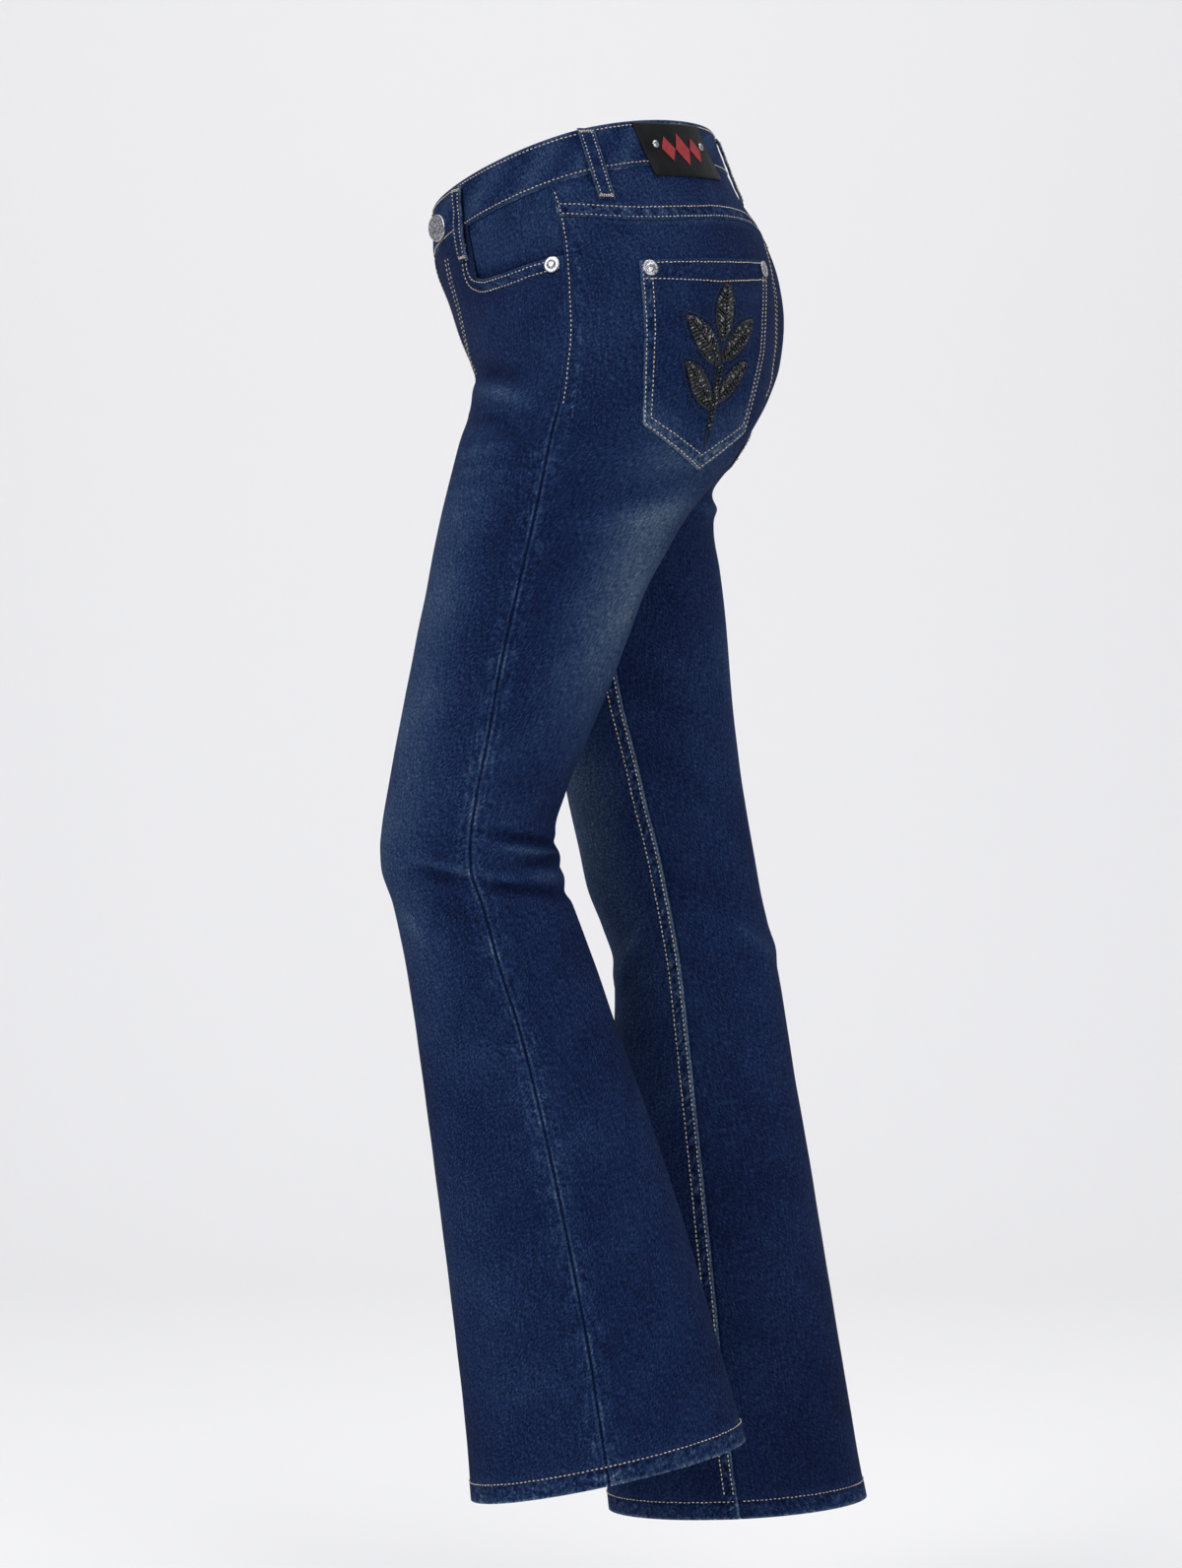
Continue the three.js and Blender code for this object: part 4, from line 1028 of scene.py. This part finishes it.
def loop_place(side, name):
    (y1, z1), (y2, z2) = LOOPS[name]
    g1, g2 = ring_at("left", y1, z1), ring_at("left", y2, z2)

    def place(shift, share):
        g = g1 + (g2 - g1) * share
        z = z1 + (z2 - z1) * share
        return surface(side, g, z, shift), outward(side, g, z, shift)

    return place


def back_loop_place(shift, share):
    z = 26 + (-24 - 26) * share
    g = np.full_like(z, 2.0)
    away = -np.abs(shift)
    left, right = surface("left", g, z, away), surface("right", g, z, away)
    left_out, right_out = outward("left", g, z, away - 2), outward("right", g, z, away - 2)
    pick = (shift >= 0)[..., None]
    return np.where(pick, left, right), np.where(pick, left_out, right_out)


BELT_LOOPS = [
    (f"{name}_{side}", loop_place(side, name), 1.7, side == "right") for side in SIDES for name in LOOPS
]
BELT_LOOPS.append(("back", back_loop_place, 1.4, True))
for belt_loop in BELT_LOOPS:
    loop_piece(*belt_loop)

# Leather patch.
PATCH_TOP = (corner_on(42, 16.5), corner_on(91, 23.5))
PATCH_LOW = (corner_on(59.5, -22), corner_on(109, -15.5))
PATCH_WIDE, PATCH_TALL = 70.0, 42.0


def on_patch(across, down):
    across = np.asarray(across, float)[..., None]
    down = np.asarray(down, float)[..., None]
    top = PATCH_TOP[0] + (PATCH_TOP[1] - PATCH_TOP[0]) * across
    low = PATCH_LOW[0] + (PATCH_LOW[1] - PATCH_LOW[0]) * across
    at = top + (low - top) * down
    return at[..., 0], at[..., 1]


dense = spread([0, 0.008, 0.02, 0.04], 24)
across, down = np.meshgrid(dense, dense, indexing="ij")
g, z = on_patch(across, down)
across_edge = np.minimum(across, 1 - across) * PATCH_WIDE
from_edge = np.minimum(across_edge, np.minimum(down, 1 - down) * PATCH_TALL)
lift = 2.1 - 0.8 * bump_at(from_edge, 0, 0.8) - 0.3 * bump_at(from_edge, 2.6, 0.8)
lift = lift + 0.2 * lattice_noise(across * 6, down * 5, 71)
points, _ = raised("left", g, z, lift)
no_wear = np.zeros_like(g)
cloth_piece("patch_leather", "leather_patch", points, 1.4, no_wear, False, leather)

# Round metal pieces.


def tube_faces(count, size):
    """Faces of a closed tube: the number of rings, and of points to a ring."""
    faces = []
    for k in range(count - 1):
        for i in range(size):
            j = (i + 1) % size
            faces.append((k * size + i, k * size + j, (k + 1) * size + j, (k + 1) * size + i))
    faces.append(tuple(range(size))[::-1])
    faces.append(tuple((count - 1) * size + i for i in range(size)))
    return faces


def turned(node_name, profile, seat, normal, tilt=0.0, segments=40):
    """A profile of radius and height, turned about the direction out of the cloth."""
    normal = Vector(normal).normalized()
    up = Vector((0, 0, 1))
    wide = normal.cross(up).normalized()
    turn = Matrix.Rotation(tilt, 3, up)
    normal, wide = turn @ normal, turn @ wide
    high = wide.cross(normal).normalized()
    points = []
    for radius, height in profile:
        for i in range(segments):
            angle = 2 * math.pi * i / segments
            spot = wide * (radius * math.cos(angle)) + high * (radius * math.sin(angle))
            points.append(tuple(Vector(seat) + normal * height + spot))
    obj = make_object(f"{node_name}_metal", points, tube_faces(len(profile), segments))
    obj.data.materials.append(nickel)
    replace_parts(obj, node_name)


RIVET = ((5.4, 0), (6.0, 0.3), (6.1, 0.9), (5.8, 1.35), (5.0, 1.6), (4.4, 1.45), (3.9, 1.35), (3.4, 1.6),
         (2.6, 2.0), (1.4, 2.2), (0.4, 2.25))
STUD = ((2.4, 0), (2.9, 0.3), (2.9, 0.7), (2.4, 1.2), (1.5, 1.5), (0.4, 1.6))
BUTTON_SHIFT = 54.0
BUTTON_Z = -49.0
BUTTON = ((3.8, 0), (3.8, 1.7), (9.3, 2.1), (10.0, 2.6), (10.1, 3.3), (9.7, 4.0), (8.9, 4.3), (8.2, 4.0),
          (7.4, 3.8), (6.2, 4.0), (5.6, 4.3), (5.0, 4.1), (3.0, 4.4), (1.2, 4.6), (0.3, 4.6))


def seat_on(side, g, z, base, shift=0.0):
    point, normal = raised(side, float(g), float(z), base, shift)
    return point, normal


RIVET_Z = -90.5
rivet_g = ring_at("left", -14.5, RIVET_Z)
for side in SIDES:
    turned(f"rivet_front_{side}", RIVET, *seat_on(side, rivet_g, RIVET_Z, 0.9))
    for end, share in (("side", 0.055), ("centre", 0.945)):
        seat = seat_on(side, *on_pocket(share, 0.05, side), POCKET_BASE + LAID_CLOTH + 0.3)
        turned(f"rivet_back_{end}_{side}", RIVET, *seat)
for end, share in (("side", 0.16), ("centre", 0.84)):
    turned(f"patch_stud_{end}", STUD, *seat_on("left", *on_patch(share, 0.42), 2.1), segments=24)
button_seat = seat_on("left", 0.0, BUTTON_Z, 0.3, BUTTON_SHIFT)
turned("waist_button", BUTTON, *button_seat, tilt=0.42, segments=48)

# Stitches. Each path is a list of points and normals; threads dip into the cloth between holes.


STITCH_SHAPE = ((-0.5, -0.5, 0.5), (-0.3, 0.75, 1.0), (0.0, 1.0, 1.1), (0.3, 0.75, 1.0), (0.5, -0.5, 0.5))
STITCH_RING = ((1, 0), (0.3, 0.95), (-0.3, 0.95), (-1, 0), (0, -0.8))


def thread_run(store, points, normals, pitch=3.4, gap=1.35, radius=0.38, height=0.35):
    """Adds a row of stitches along a path to a store."""
    points = np.asarray(points)
    lengths = np.concatenate([[0], np.cumsum(np.linalg.norm(np.diff(points, axis=0), axis=1))])
    if lengths[-1] < pitch:
        return
    count = int(lengths[-1] / pitch)
    starts = (np.arange(count) + 0.5) * lengths[-1] / count
    generator = np.random.default_rng(len(store["points"]) + 5)
    wobble = generator.normal(0, 0.1, count)
    size = len(STITCH_RING)
    for middle, side_step in zip(starts, wobble):
        first = len(store["points"])
        rings = []
        for share, rise_share, thick in STITCH_SHAPE:
            at = middle + share * (pitch - gap)
            p = np.array([np.interp(at, lengths, points[:, k]) for k in range(3)])
            n = np.array([np.interp(at, lengths, normals[:, k]) for k in range(3)])
            rings.append((p, n / np.linalg.norm(n), rise_share, thick))
        direction = rings[-1][0] - rings[0][0]
        direction /= max(1e-6, np.linalg.norm(direction))
        for p, n, rise_share, thick in rings:
            sidewise = np.cross(direction, n)
            centre = p + n * (height * rise_share) + sidewise * side_step
            for a, b in STITCH_RING:
                store["points"].append(centre + (sidewise * a + n * b) * radius * thick)
        for k in range(len(STITCH_SHAPE) - 1):
            a = first + k * size
            for i in range(size):
                j = (i + 1) % size
                store["faces"].append((a + i, a + size + i, a + size + j, a + j))
        store["faces"].append(tuple(first + i for i in range(size)))
        last = first + (len(STITCH_SHAPE) - 1) * size
        store["faces"].append(tuple(last + i for i in range(size))[::-1])


def new_store():
    return {"points": [], "faces": []}


def close_store(name, store, material=None):
    obj = make_object(name, store["points"], store["faces"])
    obj.data.materials.append(material or thread)


def stitch(store, side, g, z, shift=0.0, lift=0.0, **options):
    g, z, shift = np.broadcast_arrays(*(np.asarray(value, float) for value in (g, z, shift)))
    thread_run(store, *raised(side, g, z, lift, shift), **options)


for side in SIDES:
    store = new_store()
    g = np.linspace(0.0, 1.99, 500)
    stitch(store, side, g, height_on(side, g, waist_top, 0) - 3)
    stitch(store, side, g, height_on(side, g, waist_seam, -30) + 3)
    close_store(f"stitches_band_{side}", store)

    store = new_store()
    g = np.linspace(1.012, 1.985, 300)
    stitch(store, side, g, yoke_seam(g) + 2.2, lift=0.1)
    stitch(store, side, g, yoke_seam(g) + 9.5, lift=0.1)
    stitch(store, side, 1.0, np.linspace(-36, -192, 200), 3.0)
    if side == "left":
        for away in (-2.4, -9.0):
            stitch(store, side, 2.0, np.linspace(-26, -207, 220), away)
    close_store(f"stitches_seat_{side}", store)

    store = new_store()
    edge_y = np.concatenate([np.linspace(-77, -72, 50), np.linspace(-72, -10, 120)[1:]])
    edge_z = scoop_edge(edge_y)
    edge_g = np.array([ring_at(side, y, z) for y, z in zip(edge_y, edge_z)])
    path, normal = raised(side, edge_g, edge_z, 0.0)
    below_edge = np.cross(normal, unit(np.gradient(path, axis=0)))
    below_edge *= -np.sign(below_edge[:, 2:3].mean() or 1)
    for away in (2.4, 9.0):
        stand = SCOOP_STAND * bump_at(away, 0, SCOOP_FADE)
        thread_run(store, path + below_edge * away + normal * (0.1 + stand), normal)
    close_store(f"stitches_scoop_{side}", store)

    store = new_store()
    pocket_face = POCKET_BASE + LAID_CLOTH
    for inset in (2.2, 9.2):
        a = inset / POCKET_WIDE
        b = inset / POCKET_TALL
        corners = ((a, 0.02), (a, 1 - b), (0.5, 1 - b), (1 - a, 1 - b), (1 - a, 0.02))
        path = np.vstack([np.linspace(p, q, 60) for p, q in zip(corners, corners[1:])])
        moved = np.abs(np.diff(path, axis=0)).sum(axis=1) > 1e-6
        path = path[np.concatenate([[True], moved])]
        stitch(store, side, *on_pocket(*path.T, side), lift=pocket_face + 0.1)
    for drop in (2.2, 14.5):
        place = on_pocket(np.linspace(0.02, 0.98, 80), np.full(80, drop / POCKET_TALL), side)
        stitch(store, side, *place, lift=pocket_face + 0.4)
    close_store(f"stitches_pocket_{side}", store)

    store = new_store()
    g = np.linspace(0.01, 1.99, 420)
    stitch(store, side, g, hem_line(side, g) + HEM_DEPTH - 0.4, lift=0.3)
    close_store(f"stitches_hem_{side}", store)

    store = new_store()
    z = np.linspace(-228, -960 if side == "left" else -1010, 900)
    for away, lift in ((3.2, 0.35), (10.2, 0.2)):
        stitch(store, side, 0.0, z, away, lift, pitch=3.6, gap=1.3, radius=0.45)
    close_store(f"stitches_inseam_{side}", store)

FLY_BEND_Z = -128
store = new_store()
for away in (56.0, 63.0):
    line = np.stack([np.full(90, away), np.linspace(-72, FLY_BEND_Z, 90)], 1)
    bend = np.linspace(0, math.pi / 2, 50)[1:]
    curve = np.stack([away * np.cos(bend), FLY_BEND_Z - (away * 0.9) * np.sin(bend)], 1)
    path = np.vstack([line, curve[:-2]])
    stitch(store, "left", 0.0, path[:, 1], path[:, 0])
stitch(store, "left", 0.0, np.linspace(-72, -195, 90), 2.4)
close_store("stitches_fly", store)

store = new_store()
share = np.linspace(0.04, 0.96, 60)
for name, place, bow, _ in BELT_LOOPS:
    for shift in (-3.7, 3.7):
        points, normals = place(np.full(60, shift), share)
        points = points + normals * loop_height(bow, share, 2.0)[:, None]
        thread_run(store, points, normals, pitch=2.8)
    # The back loop has no bar tacks.
    for end in () if name == "back" else (0.05, 0.95):
        points, normals = place(np.linspace(-5.2, 5.2, 16), np.full(16, end))
        for step in (-0.5, 0.5):
            offset = points + normals * loop_height(bow, end, 1.3) + np.array([0, 0, step])
            thread_run(store, offset, normals, pitch=1.5, gap=0.1, radius=0.4)
close_store("stitches_loops", store)

# Plain red motif on the patch: three lozenges.


def flat_shape(points, normals, centre, centre_normal, thickness):
    """A thin filled outline that stands on the cloth."""
    top = np.vstack([points + normals * thickness, centre + centre_normal * thickness])
    low = np.vstack([points, centre])
    count = len(points)
    faces = []
    for i in range(count):
        j = (i + 1) % count
        faces.append((i, j, count))
        faces.append((j + count + 1, i + count + 1, 2 * count + 1))
        faces.append((j, i, i + count + 1, j + count + 1))
    return {"points": list(top) + list(low), "faces": faces}


def cut_shape(outline, place, thickness):
    """A flat shape from an outline; place(u, v) gives points and normals."""
    u, v = np.array(outline, float).T
    return flat_shape(*place(u, v), *place(u.mean(keepdims=True), v.mean(keepdims=True)), thickness)


def merge_shapes(name, shapes, material, smooth=False):
    points, faces = [], []
    for shape in shapes:
        base = len(points)
        points.extend(shape["points"])
        faces.extend(tuple(base + i for i in face) for face in shape["faces"])
    obj = make_object(name, points, faces, smooth=smooth)
    bm = bmesh.new()
    bm.from_mesh(obj.data)
    bmesh.ops.recalc_face_normals(bm, faces=bm.faces)
    bm.to_mesh(obj.data)
    bm.free()
    obj.data.materials.append(material)
    return obj


def place_on_patch(u, v):
    return raised("left", *on_patch(0.5 + u / PATCH_WIDE, 0.5 + v / PATCH_TALL), 2.3)


red = thread_material("red_print", (0.2, 0.006, 0.010), (0.3, 0.014, 0.02))
shapes = []
for centre, tall, wide in ((-14, 9.5, 6.2), (0, 12.5, 7.0), (14, 9.5, 6.2)):
    outline = [(centre, -tall), (centre + wide, 0), (centre, tall), (centre - wide, 0)]
    shapes.append(cut_shape(outline, place_on_patch, 0.3))
merge_shapes("patch_motif", shapes, red)

# Beaded leaf sprig on each back pocket: felt leaves, bugle beads across them, and an echo line.
LEAVES = (
    # base u, base v, tip u, tip v, half width, in mm from the pocket's middle, v down
    (0, -16, 3, -52, 9.5),
    (-2, -2, -36, -28, 9.0),
    (2, -4, 37, -25, 9.0),
    (-2, 24, -34, 3, 8.5),
    (2, 21, 35, 4, 8.5),
    (0, 47, 1, -14, 3.0),
)
MOTIF_LIFT = POCKET_BASE + LAID_CLOTH


def place_on_pocket(side, height):
    def place(u, v):
        across = 0.52 + np.asarray(u) / POCKET_WIDE
        down = 0.53 + np.asarray(v) / POCKET_TALL
        return raised(side, *on_pocket(across, down, side), height)

    return place


def leaf_axes(leaf):
    """A leaf's base, the directions along and across it, and its length."""
    u1, v1, u2, v2, _ = leaf
    along = np.array([u2 - u1, v2 - v1], float)
    length = np.linalg.norm(along)
    along /= length
    return np.array([u1, v1]), along, np.array([-along[1], along[0]]), length


def leaf_width(half, share):
    return half * np.sin(np.pi * np.clip(share, 0.04, 0.97) ** 0.85) ** 0.8


def leaf_outline(leaf, grow=0.0, count=16):
    base, along, across, length = leaf_axes(leaf)
    share = np.linspace(0, 1, count)
    width = leaf_width(leaf[4] + grow, share) + grow * 0.3
    spine = base + along * (share * (length + 2 * grow) - grow)[:, None]
    right = spine + across * width[:, None]
    left = spine - across * width[:, None]
    return np.vstack([right, left[::-1]])


BEAD_SIDES = 7
BEAD_RINGS = ((0.0, 0.75), (0.08, 1.0), (0.92, 1.0), (1.0, 0.75))


def bead(points, normals, radius):
    """A small tube between two points on the cloth."""
    a, b = points
    direction = unit(b - a)
    wide = unit(np.cross(direction, unit(normals.mean(axis=0))))
    up = np.cross(wide, direction)
    ring_points = []
    for share, thick in BEAD_RINGS:
        centre = a + (b - a) * share
        for i in range(BEAD_SIDES):
            angle = 2 * math.pi * i / BEAD_SIDES
            ring_points.append(centre + (wide * math.cos(angle) + up * math.sin(angle)) * radius * thick)
    return {"points": ring_points, "faces": tube_faces(len(BEAD_RINGS), BEAD_SIDES)}


BEAD_STEP = 2.4
NARROWEST = 1.3


def leaf_beads(leaf, place):
    """Two slanting beads at each step along a leaf, one on each side of its spine."""
    base, along, across, length = leaf_axes(leaf)
    steps = int(length / BEAD_STEP)
    made = []
    for k in range(1, steps):
        share = k / steps
        width = leaf_width(leaf[4], share) - 0.6
        if width < NARROWEST:
            continue
        spine = base + along * share * length
        for sign in (-1, 1):
            jitter = rng.normal(0, 0.35, 2)
            start = spine + across * sign * 0.7 + jitter * 0.5
            end = spine + across * sign * width + along * width * 0.45 + jitter
            made.append(bead(*place(*np.array([start, end]).T), 1.05))
    return made


black_thread = thread_material("black_thread", (0.004, 0.005, 0.009), (0.014, 0.016, 0.026))
for side in SIDES:
    on_face = place_on_pocket(side, MOTIF_LIFT + 0.1)
    felt = [cut_shape(leaf_outline(leaf), on_face, 0.9) for leaf in LEAVES]
    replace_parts(merge_shapes(f"sprig_felt_{side}", felt, black_thread), f"applique_{side}")
    over_felt = place_on_pocket(side, MOTIF_LIFT + 1.5)
    tubes = [made for leaf in LEAVES for made in leaf_beads(leaf, over_felt)]
    merge_shapes(f"sprig_beads_{side}", tubes, beads, smooth=True)
    store = new_store()
    for leaf in LEAVES[:5]:
        path, normals = on_face(*leaf_outline(leaf, grow=3.0, count=24).T)
        thread_run(store, path, normals, pitch=2.4, gap=0.5, radius=0.36)
    close_store(f"stitches_echo_{side}", store, black_thread)

TEETH = 32
teeth = []
for k in range(TEETH):
    z = FLY_TOP - 6 - (FLY_TOP - FLY_BOTTOM - 10) * k / (TEETH - 1)
    end_shift = 2.6 if k % 2 else -2.6
    spots = fly_points((-0.4 * end_shift, end_shift), (3.4, 3.4), z, z - 0.01, 2)[:, 0]
    away = outward("left", 0.0, z, 1.0)
    teeth.append(bead(spots, np.array([away, away]), 0.75))
merge_shapes("zip_teeth_metal", teeth, nickel, smooth=True)


def plate(shift_half, z_top, z_bottom, depth, thickness):
    """A small flat metal plate behind the fly."""
    ring_shifts = np.array([-1, -0.7, 0, 0.7, 1, 1, 0.7, 0, -0.7, -1]) * shift_half
    heights = np.array([0.2, 0, 0, 0, 0.2, 0.8, 1, 1, 1, 0.8]) * (z_bottom - z_top) + z_top
    outline, normals = [], []
    for shift, z in zip(ring_shifts, heights):
        point, normal = raised("right" if shift < 0 else "left", 0.0, z, -depth, abs(shift))
        outline.append(point)
        normals.append(normal)
    outline, normals = np.array(outline), np.array(normals)
    centre = outline.mean(axis=0, keepdims=True)
    return flat_shape(outline, normals, centre, unit(normals.mean(axis=0, keepdims=True)), thickness)


slider_parts = [plate(4.0, -78, -88, 6.0, 1.8), plate(2.2, -85, -90, 6.6, 0.8)]
slider = merge_shapes("zip_slider_metal", slider_parts, nickel)
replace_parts(slider, "zip_slider")

# Floor, light and camera.
FLOOR_Z = -1.15


def cyclorama():
    bend = 1.5
    profile = [(x, FLOOR_Z) for x in (4.0, 0.0, -2.2)]
    for i in range(1, 17):
        angle = math.pi / 2 * i / 16
        profile.append((-2.2 - bend * math.sin(angle), FLOOR_Z + bend * (1 - math.cos(angle))))
    profile.append((-3.7, 5.0))
    verts = [(x, y, z) for x, z in profile for y in (-6.0, 6.0)]
    faces = [(2 * i, 2 * i + 1, 2 * i + 3, 2 * i + 2) for i in range(len(profile) - 1)]
    mesh = bpy.data.meshes.new("backdrop")
    mesh.from_pydata(verts, [], faces)
    mesh.shade_smooth()
    obj = bpy.data.objects.new("backdrop", mesh)
    bpy.context.collection.objects.link(obj)
    material, tree, shader = new_material("backdrop")
    set_inputs(tree, shader, values={"Base Color": (0.84, 0.83, 0.83, 1), "Roughness": 0.9})
    mesh.materials.append(material)


def area_light(name, place, target, size, power):
    data = bpy.data.lights.new(name, "AREA")
    data.shape = "RECTANGLE"
    data.size, data.size_y = size
    data.energy = power
    obj = bpy.data.objects.new(name, data)
    obj.location = place
    obj.rotation_euler = (Vector(target) - Vector(place)).to_track_quat("-Z", "Y").to_euler()
    bpy.context.collection.objects.link(obj)


cyclorama()
area_light("key", (2.6, -2.6, 1.3), (0, 0, -0.5), (1.8, 2.4), 75)
area_light("fill", (3.0, 1.8, 0.6), (0, 0, -0.5), (2.2, 2.6), 38)
area_light("top", (0.2, 0.3, 2.4), (0, 0, -0.5), (2.5, 2.5), 45)
area_light("backdrop_light", (-1.2, 0.0, 2.6), (-3.2, 0, -0.6), (4.0, 1.5), 24)
world = bpy.data.worlds.new("world")
world.use_nodes = True
background = world.node_tree.nodes["Background"]
background.inputs[0].default_value = (0.9, 0.93, 1.0, 1)
background.inputs[1].default_value = 0.5
bpy.context.scene.world = world
bpy.context.scene.view_settings.view_transform = "Standard"

camera_data = bpy.data.cameras.new("camera")
camera_data.lens = 84.4
camera_data.sensor_width = 36
camera = bpy.data.objects.new("camera", camera_data)
camera.location = (2.8, 0.0131, -0.4643)
camera.rotation_euler = (math.radians(90), 0, math.radians(90))
bpy.context.collection.objects.link(camera)
bpy.context.scene.camera = camera
